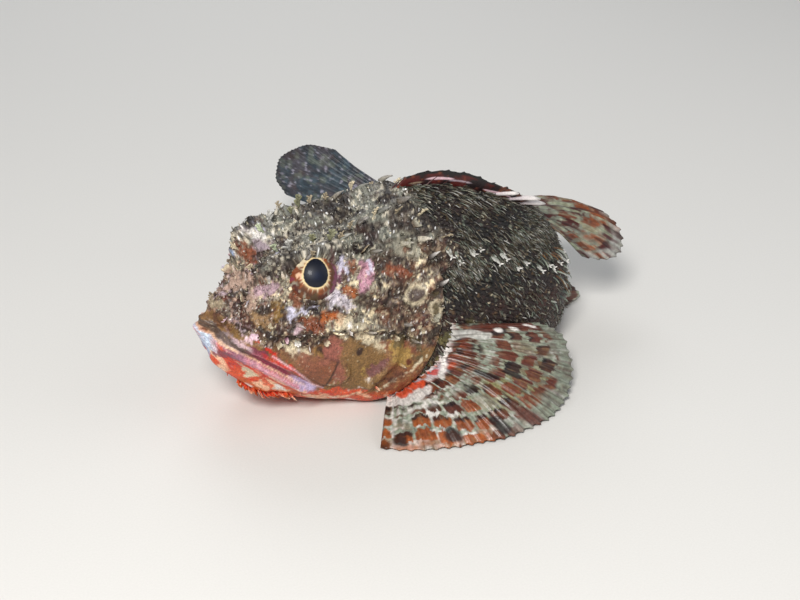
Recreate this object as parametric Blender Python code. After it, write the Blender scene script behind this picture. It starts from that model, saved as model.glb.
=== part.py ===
# Black scorpionfish resting on its belly, life size, in metres with +Z up.
# The head points to -X. The body bends round to its right, so the tail lies behind the head at +Y.
# Shapes are worked out on a straight fish as (station, side, height): station runs from the tip of the
# upper jaw to the root of the tail fin, side is positive on the fish's left, height is above the floor.
# The station line is then bent, and every piece is placed on it.
import math

import bmesh
import bpy
import numpy as np
from mathutils import Vector

MM = 0.001

# Driving sizes
NOSE_START = -3.4 * MM
NOSE_ROUND = 9 * MM
STANDARD_LENGTH = 182 * MM
GAP = 0.3 * MM
MERGE = 0.002 * MM
SUNK = 2.5 * MM

# The bend of the body seen from above, and how far the tail end is lifted
BEND_START = 77 * MM
BEND_END = 149 * MM
BEND_ANGLE = math.radians(122)
BEND_SKEW = 1.1
LIFT_START = 118 * MM
LIFT_END = 178 * MM
TAIL_LIFT = 6 * MM

# Station, back height, belly height, height of the widest line, half width, in millimetres
BODY_PROFILE = np.array(
    [
        (-3.4, 34.5, 23.5, 29.0, 7.4),
        (0.0, 36.0, 20.0, 28.5, 9.6),
        (3.0, 38.0, 17.5, 27.5, 11.4),
        (7.0, 41.5, 14.0, 26.5, 13.4),
        (13.0, 47.5, 8.8, 25.0, 15.8),
        (20.0, 53.0, 4.4, 23.5, 17.4),
        (27.0, 55.5, 2.0, 22.5, 18.6),
        (36.0, 57.5, 0.3, 21.5, 19.8),
        (45.0, 60.0, -0.5, 20.5, 21.2),
        (54.0, 62.5, -0.6, 20.5, 22.4),
        (64.0, 64.0, -0.6, 21.0, 22.6),
        (75.0, 63.0, -0.6, 21.5, 21.8),
        (90.0, 58.0, -0.6, 20.5, 20.0),
        (105.0, 50.0, -0.5, 19.5, 17.5),
        (120.0, 42.5, 0.6, 18.5, 14.0),
        (135.0, 35.5, 2.2, 17.0, 10.5),
        (150.0, 30.0, 4.0, 16.0, 7.6),
        (165.0, 26.5, 5.6, 15.8, 5.6),
        (177.0, 25.2, 6.2, 15.8, 4.4),
        (184.0, 24.0, 7.6, 15.8, 2.2),
    ]
)
# Station, squareness above the widest line, squareness below it (2 is an ellipse)
SECTION_SHAPE = np.array(
    [
        (-3.4, 2.3, 2.0),
        (5.0, 2.6, 2.1),
        (13.0, 3.0, 2.3),
        (30.0, 3.0, 2.7),
        (45.0, 2.4, 3.0),
        (60.0, 1.9, 3.0),
        (75.0, 1.75, 2.9),
        (105.0, 1.7, 2.8),
        (138.0, 1.8, 2.2),
        (184.0, 2.0, 2.0),
    ]
)

# Nodes of the body, as stations where one ends and the next begins
TRUNK_END = 106 * MM
REAR_END = 138 * MM
HEAD_REACH = 71 * MM
TRUNK_REACH = 36 * MM
AROUND = 44
REAR_AROUND = 36
STALK_AROUND = 28
HEAD_AROUND = 46
HEAD_STATIONS = 36
TRUNK_STATIONS = 17
CUT_REACH = 60 * MM
SKIN_START = NOSE_START + 0.2 * MM
SKIN_STEP = 0.5

# Side view of the mouth's gape with the seam behind it, and of the gill cover's free edge, in millimetres
MOUTH_LINE = [
    (-9, 31.2), (-4, 30.8), (0, 29.4), (6.3, 26.2), (12, 22.4), (17, 18.8), (22, 14.8), (26, 11.4), (31, 8.2),
]
JAW_BACK = 33.5
JAW_BACK_HEIGHT = 6.6
GILL_EDGE = [
    (52, 76), (56, 65), (61.5, 57), (65.5, 50.5), (67.6, 44), (67.8, 35), (66.6, 27),
    (64.2, 19.5), (60, 12), (54.5, 6.5), (47.5, 1.5), (44, -6),
]

EYE_CENTRE = (29.5, 12.3, 45.7)
EYE_RADIUS = 8.0 * MM
EYE_AIM = (-0.07, 0.81, 0.58)
ORBIT_RADIUS = 8.1
ORBIT_BEAD = 1.25
ORBIT_POINTS = 15

# Lips along the gape, the bony plate of the upper jaw behind them, and two nostrils before each eye
LIP_STATIONS = [27, 21, 14, 8, 3, 0, -2, -3.1]
UPPER_LIP = (1.45, [0.5, 0.9, 1.15, 1.25, 1.3, 1.3, 1.3, 1.3])
LOWER_LIP = (1.55, [0.6, 1.0, 1.25, 1.4, 1.45, 1.45, 1.45, 1.4])
JAW_PLATE = [
    (5, 30.2, 1.3), (12, 28.2, 2.1), (20, 24.4, 3.0), (27, 20.2, 4.0), (32, 17.0, 4.6), (34.2, 15.8, 4.4),
]
JAW_PLATE_HALF = 1.0
JAW_PLATE_PROUD = 0.8
NOSTRILS = [((14.5, 10, 46), 1.15), ((20.8, 13.5, 47.3), 1.35)]
NOSTRIL_BEAD = 0.5
NOSTRIL_DEPTH = 2.2

# Ridges of the head on its left side: points as station, side, height; then height and half width, all in mm
HEAD_RIDGES = [
    ([(18, 10, 47), (22, 13, 52), (28, 14.5, 54.5), (34, 14.5, 55), (40, 13, 55)], 3.4, 2.5),
    ([(15, 15, 33), (24, 18, 32), (34, 19.5, 31), (44, 21, 30), (51, 22, 29.5)], 2.2, 1.8),
    ([(47, 20, 42), (52, 22, 35), (53.5, 22.4, 27), (51, 22, 18), (44, 20, 10)], 2.0, 1.9),
    ([(53, 20, 43), (59, 21, 46), (66, 20.5, 50)], 1.8, 1.5),
    ([(53, 22, 37), (60, 22.4, 39), (67, 21.8, 42)], 1.8, 1.5),
    ([(42, 11, 57), (48, 10, 60), (54, 9, 62.5), (60, 8.5, 64)], 2.0, 2.0),
    ([(41, 16, 50), (50, 17, 53), (59, 17, 54), (66, 16.5, 54)], 1.6, 1.9),
    ([(12, 9.5, 47), (15, 11.5, 50), (19, 12, 52.5)], 2.8, 3.2),
    ([(8, 13.5, 30), (15, 15.5, 29)], 1.3, 2.6),
    ([(9, 14.3, 27.5), (15, 16.2, 25), (22, 17.8, 21.5), (32, 19.4, 17.5)], 0.7, 3.4),
    ([(-3.4, 1, 28.6), (-2, 6, 28.2), (1, 10.3, 27.2), (6.3, 13.2, 24), (17, 16.2, 16.4), (25, 17.4, 10)],
     1.2, 2.4),
]
# Hollows of the head: points, then depth and half width in mm
HEAD_HOLLOWS = [
    ([(16, 0, 50), (24, 0, 54), (32, 0, 56.5), (40, 0, 58.5)], 2.6, 5.0),
    ([(43, 0, 60), (50, 0, 62)], 2.2, 5.0),
    ([(42, 17.5, 47), (46, 19, 45)], 1.0, 2.5),
    ([(-2, 6, 33), (1, 9, 34), (3.5, 10.5, 35.5), (5, 9, 38), (6.5, 6, 42), (9, 6, 45)], 4.0, 4.0),
]
GILL_COVER_PROUD = 1.2
GILL_COVER_FADE = 13.0

# Head spines on the left side: root (station, side, height), aim of the tip, length, all in mm
HEAD_SPINES = [
    ((9.5, 4.5, 45), (-0.3, 0.2, 1.0), 3.0),
    ((20.5, 11.5, 50), (-0.3, 0.5, 1.0), 3.0),
    ((28, 13.3, 54), (0.5, 0.4, 1.0), 2.8),
    ((39.5, 13.2, 55.7), (1.3, 0.25, 0.7), 3.6),
    ((46, 10.5, 59.5), (1.4, 0.1, 0.7), 3.4),
    ((53, 9.2, 62.3), (1.5, 0.1, 0.5), 3.8),
    ((60, 8.5, 64), (1.5, 0.1, 0.4), 4.0),
    ((48, 17, 52.5), (1.4, 0.6, 0.3), 3.0),
    ((57, 17.2, 54), (1.4, 0.6, 0.2), 3.2),
    ((64, 16.6, 54), (1.4, 0.6, 0.1), 3.6),
    ((24, 18, 32), (0.8, 1.0, -0.2), 2.6),
    ((35, 19.7, 31), (1.0, 1.0, -0.1), 2.8),
    ((44, 21.2, 30), (1.2, 0.9, 0.0), 3.0),
    ((54, 22.8, 29.5), (1.4, 0.8, 0.1), 5.0),
    ((53.5, 22.8, 24.5), (1.3, 0.8, -0.2), 3.4),
    ((52, 22.4, 19), (1.1, 0.8, -0.5), 2.8),
    ((48.5, 21.4, 13.5), (0.8, 0.8, -0.8), 2.6),
    ((64, 20, 49.5), (1.2, 0.5, 0.5), 5.0),
    ((65.5, 22, 41.5), (1.4, 0.5, 0.1), 5.2),
]
SPINE_ROOT = 1.1 * MM
BEAD_SIDES = 5

# Skin flaps on the left side: root (station, side, height), aim, length, width, all in mm
HEAD_FLAPS = [
    ((7, 7, 41), (-0.8, 0.5, 0.9), 3.0, 2.0),
    ((10, 14.5, 32), (-0.2, 0.8, -1.0), 4.0, 2.4),
    ((17, 17, 29), (0.1, 0.8, -1.0), 4.4, 2.4),
    ((46, 20.5, 9), (0.5, 0.8, -0.4), 3.8, 3.0),
    ((62, 13, 58.5), (0.9, 0.6, 0.8), 3.8, 2.6),
    ((44, 15.5, 54), (0.4, 0.7, 0.9), 3.6, 2.6),
]
JAW_FLAPS = [
    ((7, 10.5, 15.5), (0.2, 0.9, -0.75), 4.0, 3.0),
    ((13.5, 12, 9.6), (0.4, 1.0, -0.6), 4.4, 3.2),
    ((20.5, 13.5, 5.2), (0.6, 1.0, -0.3), 4.0, 3.0),
]
LINE_FLAPS = 11
LINE_START = 72 * MM
LINE_STEP = 8.4 * MM
LINE_FLAP_LENGTH = 4.2
LINE_FLAP_WIDTH = 2.0
LINE_FLAP_AIM = (0.9, 0.6, -0.75)
LINE_FLAP_SIDE = 25
LINE_MARGIN = 2.5 * MM
LINE_STATIONS = [72, 95, 120, 150, 182]
LINE_HEIGHTS = [47, 38, 27, 19, 16]

# Fins: places along a ray, then for each fin half thickness of ray and web, and how far the web falls short
FIN_ROWS = 5
SPINY_ROWS = 3
PECTORAL_BUILD = (0.75 * MM, 0.3 * MM, 0.05)
SPINY_BUILD = (0.5 * MM, 0.35 * MM, 0.12)
SOFT_BUILD = (0.65 * MM, 0.3 * MM, 0.05)
TAIL_BUILD = (0.7 * MM, 0.3 * MM, 0.05)
FLAT_BUILD = (0.75 * MM, 0.35 * MM, 0.08)
RAY_TAPER = 0.6
WEB_TAPER = 0.1
SPINE_STAGGER = 0.35 * MM
DORSAL_SPINE_RADIUS = 0.95 * MM
DORSAL_SPINE_SIDES = 6
TAIL_BOW = -1.5 * MM

# Left pectoral fin, spread on the floor: roots, tips and bow of its rays, top ray first, in mm
PECTORAL_ROOTS = [(71.5, 17.5, 27), (70, 17.5, 20.5), (66.5, 17.2, 14), (61.5, 16.5, 8.2), (56, 14.5, 4)]
LEFT_TIPS = [
    (95, 22.1, 20), (98, 24.1, 17), (99.2, 28.4, 13), (98.4, 32.8, 8), (96, 37.9, 4), (93, 42, 1),
    (89, 45.6, 0.35), (84, 48, 0.35), (76.5, 50, 0.35), (67.8, 49.7, 0.35), (58.5, 48.3, 0.35),
    (48.8, 45.5, 0.35), (39.5, 41, 0.35),
]
LEFT_BOW = [(0, 2, 0), (0, 3, 2), (0, 1, 4), (0, 0, 4), (0, 0, 2)]
RIGHT_TIPS = [
    (86, 26, 22), (87, 30, 17), (86, 34, 12), (84, 38, 7), (81, 41, 3), (77, 43.5, 0.6),
    (71, 45.5, 0.35), (63, 46.5, 0.35), (55, 45.5, 0.35), (47, 42, 0.35), (41, 37, 0.35),
]
RIGHT_BOW = [(0, 2, 1), (0, 2, 3), (0, 1, 4), (0, 0, 4), (0, 0, 2)]
PECTORAL_RAYS = 16

# Spiny dorsal fin, laid back along the ridge
SPINY_START = 58 * MM
SPINY_END = 114 * MM
SPINE_COUNT = 12
WEB_LENGTHS = [(0, 9), (0.15, 12), (0.5, 11.5), (0.85, 10), (1, 9)]
WEB_RISE = 40
SPINE_LENGTHS = [(0, 11), (0.12, 17), (0.35, 23), (0.6, 22), (0.82, 17), (1, 16)]
SPINE_RISE = 20
DORSAL_LEAN = [(0, 6), (0.5, 18), (1, 50)]

# Soft dorsal fin, fanned out over the outer side of the bend, front ray first
SOFT_START = 116 * MM
SOFT_END = 143 * MM
SOFT_TIPS = [
    (116, 21.5, 25.5), (117.5, 30, 23.5), (119.5, 35.5, 25), (122, 36.5, 29), (125.5, 34.5, 31.5),
    (131, 29.5, 31), (138, 23.5, 29), (147, 17, 27.5),
]
SOFT_BOW = [(0, 2, 2), (0, 0, 4), (0, 0, 3), (0, 0, 2)]
SOFT_RAYS = 11

# Tail fin as (behind the stalk's end, height), a half-closed fan held just off the floor
TAIL_ROOTS = [(-3, 29), (-3, 22), (-3, 15)]
TAIL_TIPS = [(22, 41.5), (31, 41.8), (39, 38.8), (45.5, 33), (47, 26), (43, 19.5)]
TAIL_SWAY = -8
TAIL_RAYS = 13

# Anal fin, laid over to the outer side of the bend with its tips near the floor
ANAL_ROOTS = [(124, 2, 4), (133, 1.5, 6), (142, 1, 8)]
ANAL_TIPS = [(123, 20, 0.6), (126.5, 27.5, 0.6), (132, 29, 0.8), (139, 25, 1.6), (147, 17, 3.5)]
ANAL_RAYS = 8

# Pelvic fins, spread flat on the floor from the lower edge of the belly
PELVIC_ROOTS = [(66, 12, 3.2), (72, 12.5, 3.2)]
PELVIC_TIPS = [(78, 31, 0.35), (86, 32.5, 0.35), (93, 29, 0.35), (96.5, 23.5, 0.35)]
PELVIC_RAYS = 6

# Brow tentacles: a fringed flap over each eye
BROW_ROOT = (34.5, 13.4, 55.5)
BROW_STEM = (2.6, 3.0)
BROW_FRINGES = [(-0.7, 3.0), (0.1, 4.0), (0.9, 3.4)]
BROW_FRINGE_WIDTH = 1.6 * MM
BROW_AIM = (0.15, 0.2, 1.0)
BROW_FACING = (0.2, 1.0, 0.1)

# Small things of the head: how deep the orbit's rim and the eye's socket lie, lips' rise, nostrils
ORBIT_DEPTH = 0.45
SOCKET_GAP = 1.7 * GAP
EYE_LEVELS = 3
UPPER_LIP_RISE = 0.2 * MM
LOWER_LIP_RISE = 0.3 * MM
NOSTRIL_AIM = (-0.5, 1.0, 0.9)
NOSTRIL_POINTS = 8
PIT_SHARE = 0.75
PIT_SIDES = 7
FLAP_FACING = (0.2, 1.0, 0.3)


def pchip(xs, ys, x):
    # A smooth curve through the table's points that never swings past them
    h = np.diff(xs)
    slope = np.diff(ys) / h
    tangent = np.zeros(len(xs))
    rising = slope[:-1] * slope[1:] > 0
    weight_a = 2 * h[1:] + h[:-1]
    weight_b = h[1:] + 2 * h[:-1]
    safe = np.where(rising, slope[:-1], 1.0), np.where(rising, slope[1:], 1.0)
    mean = (weight_a + weight_b) / (weight_a / safe[0] + weight_b / safe[1])
    tangent[1:-1] = np.where(rising, mean, 0.0)
    tangent[0], tangent[-1] = slope[0], slope[-1]
    x = np.clip(x, xs[0], xs[-1])
    i = np.clip(np.searchsorted(xs, x, side="right") - 1, 0, len(h) - 1)
    t = (x - xs[i]) / h[i]
    return (
        ys[i] * (1 + 2 * t) * (1 - t) ** 2
        + ys[i + 1] * t * t * (3 - 2 * t)
        + h[i] * tangent[i] * t * (1 - t) ** 2
        - h[i] * tangent[i + 1] * t * t * (1 - t)
    )


def smooth_step(x):
    x = np.clip(x, 0, 1)
    return x * x * (3 - 2 * x)


# The bent station line, sampled once
LINE_S = np.arange(-30, 260, 0.25) * MM
BEND_SHARE = np.clip((LINE_S - BEND_START) / (BEND_END - BEND_START), 0, 1)
LINE_TURN = BEND_ANGLE * smooth_step(BEND_SHARE ** BEND_SKEW)
LINE_STEPS = np.diff(LINE_S, prepend=LINE_S[0])
LINE_X = LINE_S[0] + np.cumsum(np.cos(LINE_TURN) * LINE_STEPS)
LINE_Y = np.cumsum(np.sin(LINE_TURN) * LINE_STEPS)


def lift(s):
    return TAIL_LIFT * smooth_step((s - LIFT_START) / (LIFT_END - LIFT_START))


def frame_at(s):
    # Where the station line is, with the directions towards the tail and towards the fish's left
    turn = float(np.interp(s, LINE_S, LINE_TURN))
    place = Vector((float(np.interp(s, LINE_S, LINE_X)), float(np.interp(s, LINE_S, LINE_Y)), float(lift(s))))
    back = Vector((math.cos(turn), math.sin(turn), 0))
    left = Vector((math.sin(turn), -math.cos(turn), 0))
    return place, back, left


def bend(points):
    # Straight-fish points (station, side, height) to places in the row frame
    s, side, height = points[..., 0], points[..., 1], points[..., 2]
    turn = np.interp(s, LINE_S, LINE_TURN)
    x = np.interp(s, LINE_S, LINE_X) + side * np.sin(turn)
    y = np.interp(s, LINE_S, LINE_Y) - side * np.cos(turn)
    return np.stack([x, y, height + lift(s)], axis=-1)


def column(table, k, s):
    return pchip(table[:, 0] * MM, table[:, k] * MM, s)


def section_points(s, angle, grow=0.0):
    # Points of the plain body at stations s and angles round it, angle 0 on the left, a quarter turn on top
    back, belly, mid, half = (column(BODY_PROFILE, k, s) for k in (1, 2, 3, 4))
    nose = np.sqrt(1 - (1 - np.clip((s - NOSE_START) / NOSE_ROUND, 0, 1)) ** 2)
    above = pchip(SECTION_SHAPE[:, 0] * MM, SECTION_SHAPE[:, 1], s)
    below = pchip(SECTION_SHAPE[:, 0] * MM, SECTION_SHAPE[:, 2], s)
    power = 2 / np.where(np.sin(angle) > 0, above, below)
    reach = np.where(np.sin(angle) > 0, back - mid, mid - belly) * nose + grow
    side = (half * nose + grow) * np.sign(np.cos(angle)) * np.abs(np.cos(angle)) ** power
    height = mid + reach * np.sign(np.sin(angle)) * np.abs(np.sin(angle)) ** power
    return np.stack([s + 0 * angle, side, height], axis=-1)


def grid_normals(points):
    along = np.gradient(points, axis=0)
    around = np.roll(points, -1, axis=1) - np.roll(points, 1, axis=1)
    normal = np.cross(around, along)
    return normal / np.maximum(np.linalg.norm(normal, axis=-1, keepdims=True), 1e-12)


def distance_to_line(points, line):
    # Distance from every point to a line of straight pieces
    best = np.full(points.shape[:-1], 1e9)
    for a, b in zip(line[:-1], line[1:]):
        step = b - a
        t = np.clip(((points - a) @ step) / (step @ step), 0, 1)
        best = np.minimum(best, np.linalg.norm(points - (a + t[..., None] * step), axis=-1))
    return best


def gill_edge_station(height):
    edge = np.array(GILL_EDGE[::-1], float) * MM
    return np.interp(height, edge[:, 1], edge[:, 0])


def head_relief(points):
    # How far the head's bone ridges, lips and gill cover stand out from the plain body, in metres
    mirrored = np.stack([points[..., 0], np.abs(points[..., 1]), points[..., 2]], axis=-1)
    relief = np.zeros(points.shape[:-1])
    for rows, sign in ((HEAD_RIDGES, 1), (HEAD_HOLLOWS, -1)):
        for line, height, width in rows:
            d = distance_to_line(mirrored, settle(line, PLAIN_SKIN))
            relief += sign * height * MM * np.exp(-((d / (width * MM)) ** 2))
    before_edge = gill_edge_station(points[..., 2]) - points[..., 0]
    fade = np.where(before_edge > -2 * MM, 1 - smooth_step(before_edge / (GILL_COVER_FADE * MM)), 0)
    flank = smooth_step((mirrored[..., 1] - 9 * MM) / (6 * MM))
    relief += GILL_COVER_PROUD * MM * fade * flank
    return relief


def loft_points(stations, around, relief=None, grow=0.0):
    angles = np.linspace(0, 2 * math.pi, around, endpoint=False) - math.pi / 2
    s, a = np.meshgrid(stations, angles, indexing="ij")
    points = section_points(s, a, grow)
    if relief is not None:
        points = points + grid_normals(points) * relief(points)[..., None]
    points[..., 2] = np.maximum(points[..., 2], -grow)
    return points


PLAIN_SKIN = loft_points(np.linspace(SKIN_START, STANDARD_LENGTH, 260), 160).reshape(-1, 3)


def settle(points, skin):
    # The places on a skin nearest to the given (station, side, height) points, in metres
    return np.array([skin[np.argmin(((skin - np.array(p, float) * MM) ** 2).sum(axis=1))] for p in points])


def mesh_object(name, vertices, faces):
    mesh = bpy.data.meshes.new(name)
    mesh.from_pydata([tuple(v) for v in vertices], [], faces)
    mesh.validate()
    obj = bpy.data.objects.new(name, mesh)
    bpy.context.scene.collection.objects.link(obj)
    return obj


def loft(name, points):
    # Rings of points joined into one closed body, each end closed on its middle
    rings, around = points.shape[:2]
    placed = bend(points).reshape(-1, 3)
    ends = [bend(points[k].mean(axis=0)) for k in (0, -1)]
    vertices = list(placed) + ends
    first, last = rings * around, rings * around + 1
    faces = []
    for r in range(rings - 1):
        for k in range(around):
            n = (k + 1) % around
            a, b, c, d = r * around + k, r * around + n, (r + 1) * around + n, (r + 1) * around + k
            faces += [(a, c, b), (a, d, c)]
    for k in range(around):
        n = (k + 1) % around
        faces.append((first, k, n))
        faces.append((last, (rings - 1) * around + n, (rings - 1) * around + k))
    obj = mesh_object(name, vertices, faces)
    face_outwards(obj)
    return obj


def face_outwards(obj):
    bm = bmesh.new()
    bm.from_mesh(obj.data)
    bmesh.ops.remove_doubles(bm, verts=bm.verts, dist=1e-7)
    bmesh.ops.triangulate(bm, faces=bm.faces)
    bmesh.ops.recalc_face_normals(bm, faces=bm.faces)
    bm.to_mesh(obj.data)
    bm.free()


def prism(name, outline, half_depth):
    # A side-view outline in millimetres, drawn out to both sides of the straight fish
    count = len(outline)
    vertices = [(x * MM, -half_depth, z * MM) for x, z in outline]
    vertices += [(x * MM, half_depth, z * MM) for x, z in outline]
    faces = [tuple(range(count)), tuple(range(2 * count - 1, count - 1, -1))]
    faces += [(k, k + count, (k + 1) % count + count, (k + 1) % count) for k in range(count)]
    obj = mesh_object(name, vertices, faces)
    face_outwards(obj)
    return obj


def shift_line(line, by_mm):
    # The same side-view line moved square to itself, to the right of its direction of travel
    points = np.array(line, float)
    step = np.gradient(points, axis=0)
    step /= np.linalg.norm(step, axis=1, keepdims=True)
    return [tuple(p) for p in points + by_mm * np.stack([step[:, 1], -step[:, 0]], axis=1)]


def apply_boolean(obj, operation, others):
    # One Boolean with a collection of closed bodies, applied, after which they are removed
    group = bpy.data.collections.new("tools")
    bpy.context.scene.collection.children.link(group)
    for other in others:
        bpy.context.scene.collection.objects.unlink(other)
        group.objects.link(other)
    modifier = obj.modifiers.new("join", "BOOLEAN")
    modifier.operation = operation
    modifier.solver = "EXACT"
    modifier.operand_type = "COLLECTION"
    modifier.collection = group
    graph = bpy.context.evaluated_depsgraph_get()
    mesh = bpy.data.meshes.new_from_object(obj.evaluated_get(graph))
    obj.modifiers.clear()
    obj.data = mesh
    for other in others:
        bpy.data.objects.remove(other)
    bpy.data.collections.remove(group)
    keep_largest(obj)


def keep_largest(obj):
    # Keeps the largest closed surface and closes up slivers left by the cuts
    bm = bmesh.new()
    bm.from_mesh(obj.data)
    bmesh.ops.remove_doubles(bm, verts=bm.verts, dist=MERGE)
    bmesh.ops.triangulate(bm, faces=bm.faces)
    bm.faces.ensure_lookup_table()
    unseen = set(bm.faces)
    islands = []
    while unseen:
        island = [unseen.pop()]
        for face in island:
            near = {f for e in face.edges for f in e.link_faces} & unseen
            unseen -= near
            island.extend(near)
        islands.append(island)
    islands.sort(key=len, reverse=True)
    for island in islands[1:]:
        bmesh.ops.delete(bm, geom=island, context="FACES")
    loose = [v for v in bm.verts if not v.link_faces]
    bmesh.ops.delete(bm, geom=loose, context="VERTS")
    bm.to_mesh(obj.data)
    bm.free()


def cone(name, root, aim, length, root_radius, sides=5):
    # A spine: a cone with its root sunk in the bone, in places of the row frame
    aim = aim.normalized()
    across = aim.orthogonal().normalized()
    other = aim.cross(across)
    start = root - aim * SUNK
    vertices = [start + (across * math.cos(t) + other * math.sin(t)) * root_radius * 1.2
                for t in np.linspace(0, 2 * math.pi, sides, endpoint=False)]
    vertices.append(root + aim * length)
    faces = [tuple(range(sides))] + [(k, (k + 1) % sides, sides) for k in range(sides)]
    obj = mesh_object(name, vertices, faces)
    face_outwards(obj)
    return obj


def bead(name, centres, outwards, halves, closed=False):
    # A raised bead along a line of places: halves hold its half width along the skin and half height off it
    centres = np.array([tuple(c) for c in centres])
    outwards = np.array([tuple(o) for o in outwards])
    if closed:
        along = np.roll(centres, -1, axis=0) - np.roll(centres, 1, axis=0)
    else:
        along = np.gradient(centres, axis=0)
    across = np.cross(along, outwards)
    across /= np.linalg.norm(across, axis=1, keepdims=True)
    rise = np.cross(across, along)
    rise /= np.linalg.norm(rise, axis=1, keepdims=True)
    count = len(centres)
    vertices = []
    for k in range(count):
        wide, high = halves[k]
        for t in np.linspace(0, 2 * math.pi, BEAD_SIDES, endpoint=False):
            vertices.append(centres[k] + across[k] * (wide * math.cos(t)) + rise[k] * (high * math.sin(t)))
    faces = []
    for k in range(count if closed else count - 1):
        a, b = k * BEAD_SIDES, ((k + 1) % count) * BEAD_SIDES
        for j in range(BEAD_SIDES):
            n = (j + 1) % BEAD_SIDES
            faces.append((a + j, a + n, b + n, b + j))
    if not closed:
        faces.append(tuple(range(BEAD_SIDES)))
        faces.append(tuple(range((count - 1) * BEAD_SIDES, count * BEAD_SIDES)))
    obj = mesh_object(name, vertices, faces)
    face_outwards(obj)
    return obj


def flap(name, root, aim, length, width, flat_normal):
    # A skin flap: a flat tapered vane, widest near its middle, with its root sunk in
    aim = aim.normalized()
    across = aim.cross(flat_normal).normalized()
    normal = across.cross(aim).normalized()
    shape = [(-SUNK, 0.35, 0.45 * MM), (0.45 * length, 0.55, 0.32 * MM), (0.8 * length, 0.42, 0.26 * MM)]
    vertices = []
    for along, wide, half in shape:
        centre = root + aim * along
        vertices += [centre + across * wide * width, centre + normal * half,
                     centre - across * wide * width, centre - normal * half]
    vertices.append(root + aim * length)
    faces = [(0, 1, 2, 3)]
    for ring in range(len(shape) - 1):
        faces += [(4 * ring + k, 4 * ring + (k + 1) % 4, 4 * ring + 4 + (k + 1) % 4, 4 * ring + 4 + k)
                  for k in range(4)]
    top = 4 * len(shape) - 4
    faces += [(top + k, top + (k + 1) % 4, top + 4) for k in range(4)]
    obj = mesh_object(name, vertices, faces)
    face_outwards(obj)
    return obj


def local_vector(s, parts, sign):
    # A direction given as (towards the tail, outwards on this side, up) at a station
    _, back, left = frame_at(s)
    return back * parts[0] + left * (parts[1] * sign) + Vector((0, 0, parts[2]))


def local_point(s, side, height):
    place, _, left = frame_at(s)
    return place + left * side + Vector((0, 0, height))


def straight_place(points_mm, sign=1):
    # (station, side, height) in mm on one side, to places in the row frame
    return [tuple(local_point(s * MM, side * sign * MM, z * MM)) for s, side, z in points_mm]


def through(points):
    # A smooth function from 0 to 1 through a few named places, slower where they lie close
    points = np.array(points, float)
    knots = np.concatenate([[0], np.cumsum(np.sqrt(np.linalg.norm(np.diff(points, axis=0), axis=1)) + 1e-6)])
    knots = knots / knots[-1]

    def at(u):
        return np.array([float(pchip(knots, points[:, k], np.array([u]))[0]) for k in range(3)])

    return at


def even(points):
    # The same through places that count as evenly spaced
    points = np.array(points, float)
    knots = np.linspace(0, 1, len(points))

    def at(u):
        return np.array([float(pchip(knots, points[:, k], np.array([u]))[0]) for k in range(3)])

    return at


def ridge_place(s, sunk):
    height = float(column(BODY_PROFILE, 1, np.array([s]))[0])
    return local_point(s, 0, height - sunk)


def ridge_aim(s, rise, lean):
    # A direction that lies back along the ridge, raised and leaned to the left by degrees
    along = (ridge_place(s + MM, 0) - ridge_place(s - MM, 0)).normalized()
    _, _, left = frame_at(s)
    up = left.cross(along).normalized()
    if up.z < 0:
        up = -up
    rise, lean = math.radians(rise), math.radians(lean)
    return along * math.cos(rise) + (up * math.cos(lean) + left * math.sin(lean)) * math.sin(rise)


def along_table(table, u):
    table = np.array(table, float)
    return float(np.interp(u, table[:, 0], table[:, 1]))


def head_skin():
    # The head's skin with its relief, sampled finely, on which spines and flaps are rooted
    stations = np.linspace(SKIN_START, HEAD_REACH, 130)
    return loft_points(stations, 160, head_relief).reshape(-1, 3)


def spines_for(rows, skin):
    made = []
    for sign in (1, -1):
        for k, (root, aim, length) in enumerate(rows):
            s, side, height = settle([root], skin)[0]
            made.append(cone(f"spine_{sign}_{k}", local_point(s, side * sign, height),
                             local_vector(s, aim, sign), length * MM, SPINE_ROOT))
    return made


def flaps_for(rows, skin):
    made = []
    for sign in (1, -1):
        for k, (root, aim, length, width) in enumerate(rows):
            s, side, height = settle([root], skin)[0]
            outward = local_vector(s, FLAP_FACING, sign)
            made.append(flap(f"flap_{sign}_{k}", local_point(s, side * sign, height),
                             local_vector(s, aim, sign), length * MM, width * MM, outward))
    return made


def line_flaps_between(first, last):
    # Flaps of the lateral line whose roots lie between two stations
    rows = []
    for k in range(LINE_FLAPS):
        s = LINE_START + k * LINE_STEP
        if first + LINE_MARGIN < s < last - LINE_MARGIN:
            height = float(np.interp(s / MM, LINE_STATIONS, LINE_HEIGHTS))
            root = (s / MM, LINE_FLAP_SIDE, height)
            rows.append((root, LINE_FLAP_AIM, LINE_FLAP_LENGTH, LINE_FLAP_WIDTH))
    return rows


def side_at(s_mm, height_mm):
    # How far out the plain skin lies at a station and height, in millimetres
    s = s_mm * MM
    back, belly, mid, half = (float(column(BODY_PROFILE, k, s)) / MM for k in (1, 2, 3, 4))
    nose = math.sqrt(1 - (1 - min(max((s - NOSE_START) / NOSE_ROUND, 0), 1)) ** 2)
    upper = height_mm > mid
    power = float(pchip(SECTION_SHAPE[:, 0] * MM, SECTION_SHAPE[:, 1 if upper else 2], s))
    share = min(abs(height_mm - mid) / ((back - mid if upper else mid - belly) * nose), 0.97)
    return half * nose * (1 - share ** power) ** (1 / power)


def outward_at(s_mm, height_mm, sign):
    # The plain skin's outward direction there, square to its section
    slope = (side_at(s_mm, height_mm + SKIN_STEP) - side_at(s_mm, height_mm - SKIN_STEP)) / (2 * SKIN_STEP)
    run = (side_at(s_mm + SKIN_STEP, height_mm) - side_at(s_mm - SKIN_STEP, height_mm)) / (2 * SKIN_STEP)
    return local_vector(s_mm * MM, (-run, 1.0, -slope), sign).normalized()


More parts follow.
